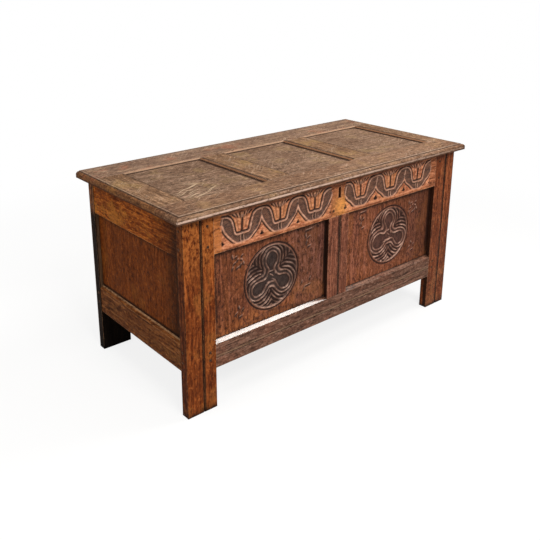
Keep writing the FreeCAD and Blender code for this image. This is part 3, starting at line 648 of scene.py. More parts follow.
grainAlong = {"x": (0.055, 1.0, 1.0), "y": (1.0, 0.055, 1.0), "z": (1.0, 1.0, 0.055)}

# faces that a finish is measured from: axis and distance from the middle in metres, depths of cuts darkened
# with grime and painted shade, and of the raw inside
faces = {
    "frame": {"axis": "y", "place": 0.279, "cuts": (0.0012, 0.0162), "raw": (0.0285, 1.0)},
    "panel": {"axis": "y", "place": 0.264, "raw": (0.0085, 1.0)},
    "side": {"axis": "x", "place": 0.623, "cuts": (0.0012, 0.0125), "raw": (0.0225, 1.0)},
    "sidePanel": {"axis": "x", "place": 0.611, "raw": (0.0085, 1.0)},
    "lid": {"axis": "z", "place": 0.655, "cuts": (0.0003, 0.0095), "raw": (0.0205, 1.0)},
    "lidPanel": {"axis": "z", "place": 0.647, "raw": (0.0055, 1.0)},
}

# half-sizes of the lid, where its knife marks are, and lines beside the moulded walls of its openings
lid = {
    "halfX": 0.655,
    "halfY": 0.304,
    "knifeMarks": (-0.455, -0.1, 0.651),
    "wallTops": (-0.2305, 0.1675, 0.5745),
    "farTops": (-0.55, -0.137, 0.261),
    "wallFeet": (-0.2435, 0.1545, 0.5615),
    "fine": {"turns": (0.5, -0.75), "fineness": 300.0, "output": "Scattered"},
    "knife": {"turns": (0.25, -0.5), "fineness": 180.0, "output": "Everywhere"},
}

# the sill: its weathered top is polished between two slopes, and a worn bead runs along its face
sill = {
    "polished": ((0.2146, 0.2156), (0.2232, 0.2218)),
    "coat": (-0.2, -0.06, 1.0, 0.8),
    "smoother": -0.36,
    "reliefLeft": 0.1,
    "bead": 0.174,
}

# colours are linear; a layer of the finish goes on the woods that have its name as their own name, as one
# of their kinds or as one of their entries
oakDefaults = {"kinds": (), "streak": 1.0, "blotch": 0.65, "flecks": 0.55, "gloss": 0.16}
oakLooks = {
    "stileOak": {
        "along": "z", "seed": 1.0, "flecks": 0.35, "gloss": 0.08, "channel": -0.5625, "face": "frame",
        "kinds": ("leg", "frontLeg", "cuts"),
        "dark": (0.034, 0.0065, 0.0025), "mid": (0.235, 0.0515, 0.0088), "light": (0.495, 0.141, 0.0325),
        "stain": (0.121, 0.024, 0.005), "patch": (0.34, 0.115, 0.025), "wear": (0.5, 0.26, 0.12),
    },
    "rightStileOak": {
        "along": "z", "seed": 18.0, "blotch": 0.8, "channel": 0.5765, "face": "frame",
        "kinds": ("leg", "frontLeg", "cuts"),
        "dark": (0.033, 0.007, 0.002), "mid": (0.225, 0.051, 0.014), "light": (0.477, 0.142, 0.049),
        "stain": (0.117, 0.026, 0.008), "patch": (0.33, 0.123, 0.045), "wear": (0.36, 0.198, 0.118),
    },
    "backStileOak": {
        "along": "z", "seed": 15.0, "gloss": 0.06, "face": "frame", "kinds": ("leg", "cuts"),
        "dark": (0.027, 0.009, 0.004), "mid": (0.14, 0.05, 0.021), "light": (0.3, 0.125, 0.055),
        "stain": (0.078, 0.026, 0.011), "wear": (0.33, 0.18, 0.1),
    },
    "muntinOak": {
        "along": "z", "seed": 2.0, "channel": 0.006, "face": "frame", "kinds": ("cuts",),
        "dark": (0.041, 0.011, 0.006), "mid": (0.224, 0.069, 0.036), "light": (0.474, 0.18, 0.102),
        "stain": (0.121, 0.034, 0.017), "patch": (0.313, 0.115, 0.056), "wear": (0.44, 0.25, 0.15),
    },
    "friezeOak": {
        "along": "x", "seed": 3.0, "blotch": 0.8, "groundShow": 0.32, "face": "frame", "kinds": ("carved",),
        "dark": (0.078, 0.021, 0.009), "mid": (0.38, 0.123, 0.05), "light": (0.722, 0.286, 0.139),
        "stain": (0.253, 0.069, 0.028), "patch": (0.49, 0.182, 0.073), "wear": (0.55, 0.34, 0.22),
        "ridge": (0.784, 0.488, 0.363),
    },
    "panelOak": {
        "along": "z", "seed": 4.0, "blotch": 0.95, "groundShow": 0.45, "face": "panel", "kinds": ("carved",),
        "corners": (0.517, 0.0405), "under": 0.507,
        "groundTints": ((0.88, 0.87, 0.87), (1.9, 1.15, 0.98)),
        "ridgeTints": ((0.88, 0.87, 0.87), (1.06, 1.0, 0.97)),
        "dark": (0.03, 0.008, 0.004), "mid": (0.182, 0.054, 0.026), "light": (0.395, 0.139, 0.071),
        "stain": (0.215, 0.062, 0.017), "patch": (0.315, 0.102, 0.029), "wear": (0.4, 0.22, 0.13),
        "ridge": (0.67, 0.43, 0.34),
    },
    "sillOak": {
        "along": "x", "seed": 5.0, "blotch": 0.8, "face": "frame", "kinds": ("sill",),
        "dark": (0.04, 0.017, 0.01), "mid": (0.189, 0.09, 0.058), "light": (0.382, 0.208, 0.143),
        "stain": (0.119, 0.046, 0.027), "patch": (0.233, 0.088, 0.052), "wear": (0.46, 0.32, 0.24),
    },
    "railOak": {
        "along": "x", "seed": 6.0, "face": "frame", "kinds": ("cuts",),
        "dark": (0.028, 0.011, 0.006), "mid": (0.13, 0.052, 0.025), "light": (0.281, 0.128, 0.067),
        "stain": (0.075, 0.028, 0.014), "wear": (0.33, 0.19, 0.11),
    },
    "sideTopOak": {
        "along": "y", "seed": 7.0, "blotch": 0.75, "gloss": 0.06, "face": "side", "soiledFrom": -0.02,
        "kinds": ("cuts",),
        "dark": (0.051, 0.011, 0.002), "mid": (0.257, 0.058, 0.007), "light": (0.563, 0.177, 0.026),
        "stain": (0.142, 0.029, 0.004), "patch": (0.399, 0.149, 0.024), "wear": (0.5, 0.27, 0.12),
    },
    "sideRailOak": {
        "along": "y", "seed": 17.0, "blotch": 0.85, "gloss": 0.06,
        "dark": (0.029, 0.008, 0.002), "mid": (0.142, 0.043, 0.011), "light": (0.3, 0.111, 0.031),
        "stain": (0.085, 0.023, 0.006), "patch": (0.163, 0.066, 0.019), "wear": (0.4, 0.24, 0.13),
    },
    "sidePanelOak": {
        "along": "z", "seed": 8.0, "streak": 0.5, "blotch": 0.85, "gloss": 0.06, "face": "sidePanel",
        "soiledFrom": -0.03, "under": 0.515,
        "dark": (0.029, 0.006, 0.001), "mid": (0.155, 0.035, 0.005), "light": (0.303, 0.081, 0.013),
        "stain": (0.104, 0.023, 0.003), "patch": (0.18, 0.055, 0.009), "wear": (0.32, 0.16, 0.07),
    },
    "backPanelOak": {
        "along": "z", "seed": 9.0, "face": "panel",
        "dark": (0.031, 0.014, 0.007), "mid": (0.12, 0.055, 0.03), "light": (0.244, 0.122, 0.073),
        "stain": (0.08, 0.034, 0.018), "wear": (0.28, 0.18, 0.11),
    },
    "lidRailOak": {
        "along": "x", "seed": 10.0, "streak": 0.8, "blotch": 0.85, "face": "lid",
        "kinds": ("lid", "lidFrame"),
        "dark": (0.044, 0.021, 0.01), "mid": (0.191, 0.102, 0.058), "light": (0.363, 0.216, 0.133),
        "stain": (0.127, 0.059, 0.03), "patch": (0.27, 0.156, 0.072), "wear": (0.55, 0.4, 0.3),
    },
    "lidBackOak": {
        "along": "x", "seed": 21.0, "streak": 0.8, "blotch": 0.8, "face": "lid",
        "kinds": ("lid", "lidFrame"),
        "dark": (0.049, 0.024, 0.016), "mid": (0.196, 0.113, 0.069), "light": (0.372, 0.238, 0.146),
        "stain": (0.147, 0.081, 0.056), "patch": (0.274, 0.103, 0.056), "wear": (0.55, 0.4, 0.3),
    },
    "lidUprightOak": {
        "along": "y", "seed": 11.0, "streak": 0.8, "blotch": 0.85, "face": "lid",
        "kinds": ("lid", "lidFrame"),
        "dark": (0.042, 0.019, 0.009), "mid": (0.183, 0.096, 0.049), "light": (0.359, 0.21, 0.12),
        "stain": (0.117, 0.055, 0.025), "patch": (0.282, 0.168, 0.066), "wear": (0.52, 0.38, 0.27),
    },
    "lidPanelOak": {
        "along": "x", "seed": 12.0, "streak": 0.8, "blotch": 0.9, "face": "lidPanel", "kinds": ("lid",),
        "dark": (0.039, 0.02, 0.011), "mid": (0.182, 0.105, 0.064), "light": (0.36, 0.225, 0.153),
        "stain": (0.113, 0.056, 0.03), "patch": (0.246, 0.153, 0.07), "wear": (0.5, 0.36, 0.26),
    },
    "boardOak": {
        "along": "y", "seed": 13.0, "kinds": ("dry",),
        "dark": (0.05, 0.029, 0.017), "mid": (0.17, 0.105, 0.065), "light": (0.317, 0.213, 0.14),
        "stain": (0.11, 0.06, 0.035), "wear": (0.3, 0.21, 0.14),
    },
    "pegOak": {
        "along": "y", "seed": 14.0,
        "dark": (0.012, 0.005, 0.002), "mid": (0.06, 0.022, 0.01), "light": (0.159, 0.061, 0.029),
        "stain": (0.04, 0.015, 0.008), "wear": (0.24, 0.12, 0.06),
    },
}
oakTones = {
    # dark of grime, also used for painted shade
    "grime": (0.010, 0.005, 0.003),
    "cutGrime": (0.02, 0.007, 0.004),
    "handled": (0.023, 0.003, 0.0005),
    "lidCut": (0.022, 0.008, 0.004),
    "raw": (0.115, 0.068, 0.038),
    "petal": (0.92, 0.4, 0.22),
    "petalGold": (0.86, 0.38, 0.15),
    "petalDeep": (0.42, 0.12, 0.05),
    "ochre": (0.98, 0.42, 0.1),
    "ground": (0.03, 0.023, 0.022),
    "groundPale": (0.12, 0.087, 0.077),
    "soot": (0.02, 0.006, 0.004),
    "lidWall": (0.21, 0.095, 0.045),
    "lidWallPale": (0.33, 0.2, 0.125),
    "lidUnder": (0.075, 0.028, 0.015),
    "nose": (0.78, 0.56, 0.46),
    "topGlow": (0.6, 0.2, 0.045),
    "lowGlow": (0.5, 0.165, 0.04),
    "bead": (0.32, 0.19, 0.11),
    "knifeMark": (0.52, 0.38, 0.25),
    "footGrime": (0.0015, 0.0015, 0.0015),
}
# tints multiply what lies below them
oakTints = {
    "panelLeft": (0.94, 0.9, 0.8),
    "panelMiddle": (0.84, 0.96, 1.3),
    "panelRight": (1.34, 1.18, 0.95),
    "lidEnd": (0.72, 0.52, 0.32),
}
# blends of two colours go from the first to the second along a slope; ("raw", 1.9) is a brighter raw
oakBlends = {
    "wall": (("normalY", -0.2, -0.5), "lidWall", "lidWallPale"),
    "streakyRaw": (("streak", 0.35, 0.65), "raw", ("raw", 1.9)),
    "unevenPetal": (("mottle", 0.6, 0.4), "petal", "petalDeep"),
    "petals": (("stain", 0.48, 0.58, 0.0, 0.4), "unevenPetal", "petalGold"),
}

# slopes that several layers share
onTop = ("z", 0.6515, 0.6525)
broken = ("mottle", 0.36, 0.5, 0.35, 1.0)
inPatches = ("mottle", 0.34, 0.56, 0.5, 1.0)
insideFrame = (("offX", 0.03, 0.04), ("offY", 0.03, 0.04))

# the finish is laid in this order. A layer is: the wood that takes it, its colour, its strength, and the
# masks that are multiplied for its place. A mask is a name, or a slope (what it goes by, start, end, and
# its values there if they aren't 0 and 1), or a band (what it goes by, start, end); what it goes by may
# be roughened by a share of a pattern
oakLayers = (
    # the wood itself
    ("all", "stain", 0.5, ("figure", 0.4, 0.62)),
    ("all", "stain", 0.55, ("stain", 0.48, 0.66)),
    ("patch", "patch", 0.6, (("stain", -0.3, "figure"), 0.32, 0.2)),
    ("all", "dark", "blotch", ("mottle", 0.475, 0.365)),
    ("all", "light", "blotch", ("mottle", 0.535, 0.645)),
    ("all", "dark", "flecks", "fleck"),
    ("all", ("dark", 0.4), 0.85, "speck"),
    ("all", ("dark", 0.5), 0.5, "pore"),
    # fine scratches all over the lid, and golden knife marks near its left end
    ("lid", "wear", 0.3, "fineScratches"),
    ("lid", "knifeMark", 0.75, "knifeScratches", ("offKnifeMarks", 0.1, 0.04), ("z", 0.642, 0.645)),
    # tints of the panels by place, and a lighter orange on the upper left stile and the frieze's left end
    ("panelOak", "panelLeft", 1.0, ("x", -0.37, -0.42)),
    ("panelOak", "panelMiddle", 1.0, ("x", -0.24, -0.16)),
    ("panelOak", "panelRight", 1.0, ("x", 0.0, 0.04)),
    ("stileOak", "topGlow", 0.48, (("z", 0.2, "stain"), 0.5, 0.66), ("mottle", 0.4, 0.58)),
    ("friezeOak", "topGlow", 0.7, ("x", -0.478, -0.5), ("mottle", 0.38, 0.58, 0.2, 1.0)),
    # grime and painted shade in hollows and channels, darker beside the outer stiles, painted shadow by the
    # muntin, the right stile and under rails, dirt at the feet
    ("all", "grime", 0.85, "hollow"),
    ("channel", "grime", 0.85, ("offChannel", 0.0062, 0.0034), ("y", -0.2, -0.26)),
    ("corners", "grime", 0.7, (("offStile", -0.03, "mottle"), 0.012, -0.012)),
    # painted shadow beside the muntin and the right stile
    ("corners", "grime", 0.9, ("offMuntin", 0.017, 0.009)),
    ("leg", "grime", 0.8, (("z", 0.03, "mottle"), 0.028, 0.014)),
    # painted shadow under the top rails
    ("under", "grime", 0.7, ("belowRail", 0.026, 0.002)),
    # moulded walls of the lid's openings: painted lighter where they face the front, between lines of grime
    # and painted shade
    ("lidFrame", "wall", 0.8, *insideFrame, "cuts"),
    ("lidFrame", "lidCut", 0.85, *insideFrame, ("band", "behind", 0.0044, 0.0095)),
    # lines of grime and painted shade beside the tops of the walls
    ("lidUprightOak", "lidCut", 0.8, ("offWallTops", 0.0052, 0.0036), ("acrossY", 0.19, 0.184)),
    ("lidUprightOak", "lidCut", 0.6, ("offFarTops", 0.0042, 0.0025), ("acrossY", 0.19, 0.184)),
    # cuts darkened with grime and painted shade, the frame's raw inside, and painted black shade on the legs'
    # insides and the back stiles' sides
    ("cuts", "cutGrime", 0.9, "cuts", ("acrossX", 0.6235, 0.6225)),
    ("face", "streakyRaw", 0.75, "raw"),
    # painted black shade on the legs' raw insides near the floor and on the back stiles' sides below the top
    # rail
    ("leg", "footGrime", 0.96, "raw", ("z", 0.152, 0.14)),
    ("backStileOak", "footGrime", 0.93, ("behind", -0.001, 0.003), ("z", 0.53, 0.5),
     ("acrossX", 0.6205, 0.6225)),
    # rubbed arrises, and painted shade on the thickness of the front legs towards the front
    ("all", "wear", 0.85, "edge"),
    ("frontLeg", "handled", 1.0, ("acrossX", 0.6234, 0.6244), ("y", -0.15, -0.22),
     ("mottle", 0.3, 0.62, 0.9, 0.58)),
    # the lid's thumbnail edge: a rubbed ring between lines of grime and painted shade, a painted highlight on
    # the nose, and painted shade under it and on the ends
    ("lid", "wear", 0.4, ("band", "offEdge", 0.0138, 0.0185), onTop, broken,
     ("offX", 0.014, 0.022, 0.3, 1.0)),
    ("lid", "lidCut", 0.45, ("band", "offEdge", 0.0072, 0.0138), onTop),
    ("lid", "lidCut", 0.45, ("band", "offEdge", 0.0185, 0.0222), onTop),
    ("lid", "nose", 0.7, ("z", 0.637, 0.6386), ("y", -0.296, -0.3005), ("z", 0.6447, 0.6428),
     ("x", 0.7, -0.25, 0.3, 1.0), broken),
    # painted shade under the nose, on the ends of the lid and at its right end
    ("lid", "lidUnder", 0.8, ("offEdge", 0.009, 0.007), ("z", 0.6385, 0.637)),
    ("lid", "lidEnd", 1.0, ("offX", 0.0125, 0.007), ("y", -0.28, -0.18, 0.15, 1.0)),
    ("lid", "lidUnder", 0.7, ("x", 0.636, 0.65)),
    # a line of grime and painted shade at the feet of the walls
    ("lidPanelOak", "lidCut", 0.8, ("offWallFeet", 0.0062, 0.004)),
    # the sides: a rubbed arris, painted shade towards the front stile, and a painted shadow line at the
    # panel's foot
    ("sideRailOak", "wear", 0.6, ("z", 0.2425, 0.245), ("mottle", 0.36, 0.54)),
    ("soiledFrom", "dark", 0.75, (("behindSoil", 0.16, "stain"), 0.0, -0.15)),
    ("soiledFrom", "grime", 0.7, (("y", 0.12, "mottle"), -0.115, -0.195)),
    ("sidePanelOak", "grime", 0.85, (("z", -0.006, "mottle"), 0.2565, 0.2495)),
    # the front panels get painted shade towards the right and a painted orange glow at the foot
    ("panelOak", "dark", 0.5, (("x", 0.1, "stain"), 0.36, 0.5)),
    # painted glow at the foot of the panels, as if reflected from the sill
    ("panelOak", "lowGlow", 0.5, (("z", 0.22, "stain"), 0.41, 0.34), ("x", -0.12, -0.3, 0.35, 1.0),
     ("mottle", 0.42, 0.6)),
    # the carving's petals, sunk ground with a painted shadow under the lid, sooty cuts, and rubbed ridges
    # with painted highlights on the roundels
    ("carved", "petals", 0.8, "carveWarm"),
    ("carved", "ochre", 0.8, "carveOchre", inPatches),
    ("carved", "sunkGround", 0.95, "carveDark"),
    ("carved", "soot", 0.88, "carveBlack"),
    ("carved", "ridges", 0.85, "carveLight", inPatches),
    # silt at the back of the sill's top, and its bead between lines of grime and painted shade
    ("sill", "grime", 0.8, ("z", 0.2218, 0.2232)),
    ("sill", "cutGrime", 0.45, ("band", "offBead", 0.0026, 0.0062)),
    ("sill", "bead", 0.6, ("offBead", 0.0033, 0.0022), ("mottle", 0.34, 0.5, 0.45, 1.0)),
)


# distance to the nearest of some places along an axis
def nearest(source, lines):
    gaps = [absolute(minus(source, q)) for q in lines]
    best = gaps[0]
    for gap in gaps[1:]:
        best = calculate("MINIMUM", best, gap)
    return best


def bandMask(behind, low, high):
    inputs = {"Behind": behind, "From": low, "To": high}
    return addNode(behind.id_data, "ShaderNodeGroup", inputs, node_tree=depthBand).outputs[0]


def scratchMask(where, kind):
    look = lid[kind]
    sets = []
    for turn in look["turns"]:
        inputs = {"Vector": where, "Turn": turn, "Fineness": look["fineness"]}
        marks = addNode(where.id_data, "ShaderNodeGroup", inputs, node_tree=scratches)
        sets.append(marks.outputs[look["output"]])
    return calculate("MAXIMUM", *sets)


def carveMask(m, name):
    return addNode(m["x"].id_data, "ShaderNodeAttribute", attribute_name=name).outputs["Fac"]


# slopes between the left and the right panel, and of the pale patches on sunk ground
carvedLook = {"divide": (-0.02, 0.02), "ground": (0.36, 0.6)}


# a colour that differs between the left and the right panel
def tinted(m, colour, tints):
    if tints not in m["look"]:
        return colour
    onRight = remap(m["x"], *carvedLook["divide"])
    return mixColour(1.0, colour, mixColour(onRight, *m["look"][tints]), "MULTIPLY")


def groundColour(m):
    patchy = remap(m["mottle"], *carvedLook["ground"], 0.0, m["look"]["groundShow"])
    return tinted(m, mixColour(patchy, oakTones["ground"], oakTones["groundPale"]), "groundTints")


# what the layers go by, apart from x, y, z and the patterns of the grain; distances are in metres
measures = {
    "acrossX": lambda m: absolute(m["x"]),
    "acrossY": lambda m: absolute(m["y"]),
    "behind": lambda m: minus(m["face"]["place"], absolute(m[m["face"]["axis"]])),
    "cuts": lambda m: bandMask(valueOf(m, "behind"), *m["face"]["cuts"]),
    "raw": lambda m: bandMask(valueOf(m, "behind"), *m["face"]["raw"]),
    "offChannel": lambda m: nearest(m["x"], [m["look"]["channel"]]),
    "offStile": lambda m: minus(m["look"]["corners"][0], valueOf(m, "acrossX")),
    "offMuntin": lambda m: nearest(m["x"], (-m["look"]["corners"][1], m["look"]["corners"][0])),
    "belowRail": lambda m: minus(m["look"]["under"], m["z"]),
    "behindSoil": lambda m: minus(m["y"], m["look"]["soiledFrom"]),
    "offX": lambda m: minus(lid["halfX"], valueOf(m, "acrossX")),
    "offY": lambda m: minus(lid["halfY"], valueOf(m, "acrossY")),
    "offEdge": lambda m: calculate("MINIMUM", valueOf(m, "offX"), valueOf(m, "offY")),
    "offWallTops": lambda m: nearest(m["x"], lid["wallTops"]),
    "offFarTops": lambda m: nearest(m["x"], lid["farTops"]),
    "offWallFeet": lambda m: nearest(m["x"], lid["wallFeet"]),
    "offKnifeMarks": lambda m: vectorMath("DISTANCE", m["where"], lid["knifeMarks"]),
    "fineScratches": lambda m: scratchMask(m["where"], "fine"),
    "knifeScratches": lambda m: scratchMask(m["where"], "knife"),
    "offBead": lambda m: nearest(m["z"], [sill["bead"]]),
    "polished": lambda m: product(*(remap(m["z"], *slope) for slope in sill["polished"])),
    "sunkGround": groundColour,
    "ridges": lambda m: tinted(m, m["look"]["ridge"], "ridgeTints"),
}


# a measure of the piece, worked out once for each material
def valueOf(m, source):
    if isinstance(source, tuple):
        name, amount, pattern = source
        return plus(valueOf(m, name), product(m[pattern], amount))
    if source not in m:
        m[source] = carveMask(m, source) if source.startswith("carve") else measures[source](m)
    return m[source]


def maskFor(m, part):
    if isinstance(part, str):
        return valueOf(m, part)
    if part[0] == "band":
        return bandMask(valueOf(m, part[1]), *part[2:])
    return remap(valueOf(m, part[0]), *part[1:])


def toneFor(m, tone):
    if isinstance(tone, tuple):
        name, brightness = tone
        return tuple(brightness * q for q in toneFor(m, name))
    if tone in oakBlends:
        slope, first, second = oakBlends[tone]
        return mixColour(maskFor(m, slope), toneFor(m, first), toneFor(m, second))
    for tones in (m["look"], oakTones, oakTints):
        if tone in tones:
            return tones[tone]
    return valueOf(m, tone)


# slopes of the bare wood's colour and roughness, what roughens it further, and its relief
oakFinish = {
    "arris": 0.003,
    "streaks": 0.15,
    "rough": (0.3, 0.7, 0.62, 0.46),
    "rougher": {"lid": 0.12, "raw": 0.25, "dry": 0.3},
    "coatRough": 0.12,
    "relief": {"pore": -0.8, "mottle": 0.8, "fleck": -0.35},
    "bump": {"Strength": 0.9, "Distance": 0.0009},
}


def oakMaterial(name):
    look = {**oakDefaults, **oakLooks[name]}
    kinds = {"all", name, *look, *look["kinds"]}
    material, tree = newMaterial(name)
    shape = addNode(tree, "ShaderNodeTexCoord").outputs
    m = {"look": look, "face": faces.get(look.get("face")), "where": shape["Object"]}
    m.update(zip("xyz", addNode(tree, "ShaderNodeSeparateXYZ", {0: m["where"]}).outputs))
    if "lidFrame" in kinds:
        m["normalY"] = addNode(tree, "ShaderNodeSeparateXYZ", {0: shape["Normal"]}).outputs[1]
    inputs = {"Vector": m["where"], "Stretch": grainAlong[look["along"]], "Seed": look["seed"]}
    grain = addNode(tree, "ShaderNodeGroup", inputs, node_tree=oakGrain).outputs
    m.update((q.name.lower(), q) for q in grain)
    inputs = {"Breakup": m["mottle"], "Radius": oakFinish["arris"]}
    wear = addNode(tree, "ShaderNodeGroup", inputs, node_tree=wearAndGrime).outputs
    m.update({"edge": wear["Edge"], "hollow": wear["Hollow"]})
    ramp = addNode(tree, "ShaderNodeValToRGB", {"Fac": m["streak"]})
    stops = ramp.color_ramp.elements
    spread = oakFinish["streaks"] / look["streak"]
    for stop, position, tone in zip(stops, (0.5 - spread, 0.5 + spread), ("dark", "light")):
        stop.position = position
        stop.color = (*look[tone], 1)
    stops.new(0.5).color = (*look["mid"], 1)
    colour = ramp.outputs["Color"]
    for wood, tone, strength, *parts in oakLayers:
        if wood in kinds:
            mask = product(*(maskFor(m, part) for part in parts), look.get(strength, strength))
            colour = mixColour(mask, colour, toneFor(m, tone), "MULTIPLY" if tone in oakTints else "MIX")
    rougher = oakFinish["rougher"]
    rough = remap(m["streak"], *oakFinish["rough"])
    if "lid" in kinds:
        rough = plus(rough, rougher["lid"])
    if "face" in kinds:
        rough = plus(rough, product(m["raw"], rougher["raw"]))
    if "sill" in kinds:
        rough = plus(rough, product(valueOf(m, "polished"), sill["smoother"]))
    if "dry" in kinds:
        rough = plus(rough, rougher["dry"])
    height = m["streak"]
    for pattern, amount in oakFinish["relief"].items():
        height = plus(height, product(m[pattern], amount))
    inputs = {"Base Color": colour, "Roughness": rough, "Specular IOR Level": look["gloss"],
              "Coat Roughness": oakFinish["coatRough"]}
    if "sill" in kinds:
        height = product(height, remap(m["polished"], 0.0, 1.0, 1.0, sill["reliefLeft"]))
        inputs["Coat Weight"] = product(m["polished"], remap(m["x"], *sill["coat"]))
    bump = {"Height": height, "Normal": wear["Soft Normal"], **oakFinish["bump"]}
    inputs["Normal"] = addNode(tree, "ShaderNodeBump", bump).outputs[0]
    shader = addNode(tree, "ShaderNodeBsdfPrincipled", inputs)
    addNode(tree, "ShaderNodeOutputMaterial", {"Surface": shader.outputs[0]})
    return material


ironLook = {
    "dark": (0.018, 0.016, 0.015),
    "light": (0.075, 0.068, 0.062),
    "rust": (0.13, 0.045, 0.018),
    "bright": (0.22, 0.2, 0.19),
    "rustiness": {"strapIron": 0.55, "lockIron": 0.35},
    "scale": (110.0, 6.0, 0.6),
    "scaleSlope": (0.35, 0.65),
    "spots": (38.0, 5.0, 0.7),
    "spotSlope": (0.5, 0.66),
    "arris": 0.0012,
    "rubbed": 0.6,
    "rough": (0.3, 0.7, 0.42, 0.68),
    "metallic": 0.85,
    "bump": {"Strength": 0.6, "Distance": 0.0008},
}


def ironMaterial(name):
    look = ironLook
    material, tree = newMaterial(name)
    where = addNode(tree, "ShaderNodeTexCoord").outputs["Object"]
    scale = noise(where, *look["scale"])
    inputs = {"Breakup": scale, "Radius": look["arris"]}
    wear = addNode(tree, "ShaderNodeGroup", inputs, node_tree=wearAndGrime)
    colour = mixColour(remap(scale, *look["scaleSlope"]), look["dark"], look["light"])
    rusty = product(remap(noise(where, *look["spots"]), *look["spotSlope"]), look["rustiness"][name])
    colour = mixColour(rusty, colour, look["rust"])
    colour = mixColour(product(wear.outputs["Edge"], look["rubbed"]), colour, look["bright"])
    inputs = {
        "Base Color": colour,
        "Roughness": remap(scale, *look["rough"]),
        "Metallic": minus(look["metallic"], rusty),
        "Normal": addNode(tree, "ShaderNodeBump", {"Height": scale, **look["bump"]}).outputs[0],
    }
    shader = addNode(tree, "ShaderNodeBsdfPrincipled", inputs)
    addNode(tree, "ShaderNodeOutputMaterial", {"Surface": shader.outputs[0]})
    return material


materials = {name: oakMaterial(name) for name in oakLooks}
for name in ironLook["rustiness"]:
    materials[name] = ironMaterial(name)
print("materials ready:", len(materials))

# the first pattern that fits a piece's name gives its finish
finishes = {
    "*strap*": "strapIron",
    "*pin*": "strapIron",
    "*nails*": "lockIron",
    "lock_*": "lockIron",
    "*pegs*": "pegOak",
    "bottom_board*": "boardOak",
    "lid_*panel*": "lidPanelOak",
    "lid_back_rail": "lidBackOak",
    "lid_*rail*": "lidRailOak",
    "lid_*": "lidUprightOak",
    "front_bottom_rail": "sillOak",
    "front_top_rail": "friezeOak",
    "front_muntin": "muntinOak",
    "front_left_stile": "stileOak",
    "front_right_stile": "rightStileOak",
    "front_*_panel": "panelOak",
    "back_*stile": "backStileOak",
    "back_*muntin": "backStileOak",
    "back_*rail": "railOak",
    "back_*": "backPanelOak",
    "*_panel": "sidePanelOak",
    "*_top_rail": "sideTopOak",
    "*": "sideRailOak",
}
for name, piece in nodes.items():
    finish = next(finish for pattern, finish in finishes.items() if fnmatch(name, pattern))
    piece.data.materials.clear()
    piece.data.materials.append(materials[finish])

rail = carvedCopy("front_top_rail", carveFrieze, frieze)
rail.data.materials.append(materials["friezeOak"])
for name, shape in roundels.items():
    panel = carvedCopy(name, carveRoundel, {**roundelShape, **shape})
    panel.data.materials.append(materials["panelOak"])
print("carving done")

white = (1.0, 1.0, 1.0)

# the floor's glow is what the camera sees of it, and rises to plain white away from the chest
stage = {
    "size": 30.0,
    "colour": (0.88, 0.88, 0.88),
    "bounce": (0.5, 0.47, 0.44),
    "glow": (0.9, 2.4, 0.82, 1.0),
}


def buildFloor():
    bm = bmesh.new()
    bmesh.ops.create_grid(bm, x_segments=1, y_segments=1, size=stage["size"])
    mesh = bpy.data.meshes.new("floor")
    bm.to_mesh(mesh)
    bm.free()
    floor = bpy.data.objects.new("floor", mesh)
    scene.collection.objects.link(floor)
    material, tree = newMaterial("paleFloor")
    seen = addNode(tree, "ShaderNodeLightPath").outputs["Is Camera Ray"]
    colour = mixColour(seen, stage["bounce"], stage["colour"])
    matt = addNode(tree, "ShaderNodeBsdfDiffuse", {"Color": colour}).outputs[0]
    glow = addNode(tree, "ShaderNodeEmission", {"Color": white, "Strength": 1.0}).outputs[0]
    away = vectorMath("LENGTH", addNode(tree, "ShaderNodeTexCoord").outputs["Object"])
    shown = product(seen, remap(away, *stage["glow"]))
    mixed = addNode(tree, "ShaderNodeMixShader", {0: shown, 1: matt, 2: glow}).outputs[0]
    addNode(tree, "ShaderNodeOutputMaterial", {"Surface": mixed})
    mesh.materials.append(material)


room = {"strength": 0.26}


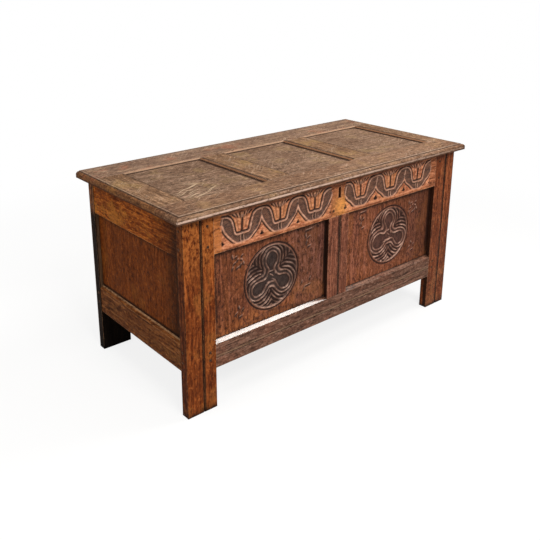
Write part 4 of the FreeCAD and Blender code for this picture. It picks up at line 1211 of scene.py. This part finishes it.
def buildWorld():
    world = bpy.data.worlds.new("studio")
    scene.world = world
    world.use_nodes = True
    tree = world.node_tree
    tree.nodes.clear()
    soft = addNode(tree, "ShaderNodeBackground", {"Color": white, "Strength": room["strength"]}).outputs[0]
    plain = addNode(tree, "ShaderNodeBackground", {"Color": white, "Strength": 1.0}).outputs[0]
    seen = addNode(tree, "ShaderNodeLightPath").outputs["Is Camera Ray"]
    mixed = addNode(tree, "ShaderNodeMixShader", {0: seen, 1: soft, 2: plain}).outputs[0]
    addNode(tree, "ShaderNodeOutputWorld", {"Surface": mixed})


# place, aim, size and power of each lamp
lampColour = (1.0, 0.975, 0.93)
lamps = {
    "keyPanel": {
        "place": (1.13, -0.55, 2.25), "aim": (-0.25, -0.25, 0.3),
        "size": (1.05, 0.84), "power": 45.0,
    },
    "frontTop": {
        "place": (-0.7, -2.3, 2.6), "aim": (-0.1, -0.2, 0.4),
        "size": (1.2, 0.8), "power": 66.0,
    },
    "leftFill": {
        "place": (-2.8, 0.2, 1.9), "aim": (-0.6, 0.0, 0.35),
        "size": (1.4, 1.4), "power": 34.0,
    },
    "topSoft": {
        "place": (-0.5, 0.6, 3.0), "aim": (0.0, 0.1, 0.6),
        "size": (2.2, 2.2), "power": 14.0,
    },
}


def buildLamps():
    for name, lamp in lamps.items():
        data = bpy.data.lights.new(name, "AREA")
        data.shape = "RECTANGLE"
        data.size, data.size_y = lamp["size"]
        data.energy = lamp["power"]
        data.color = lampColour
        light = bpy.data.objects.new(name, data)
        light.location = lamp["place"]
        towards = Vector(lamp["aim"]) - Vector(lamp["place"])
        light.rotation_euler = towards.to_track_quat("-Z", "Y").to_euler()
        scene.collection.objects.link(light)


view = {
    "place": (-1.61046, -1.78201, 1.29132),
    "right": (0.777885, -0.628376, -0.006231),
    "down": (-0.190491, -0.226342, -0.95524),
    "ahead": (0.598839, 0.744253, -0.295768),
    "sensor": 36.0,
    "lens": 46.3528,
    "shift": (0.0463, -0.15741),
}


def buildCamera():
    data = bpy.data.cameras.new("camera")
    data.sensor_width = view["sensor"]
    data.lens = view["lens"]
    data.shift_x, data.shift_y = view["shift"]
    camera = bpy.data.objects.new("camera", data)
    axes = Matrix((view["right"], [-q for q in view["down"]], [-q for q in view["ahead"]])).transposed()
    camera.matrix_world = Matrix.Translation(view["place"]) @ axes.to_4x4()
    scene.collection.objects.link(camera)
    bpy.context.scene.camera = camera


buildFloor()
buildWorld()
buildLamps()
buildCamera()
print("stage ready")
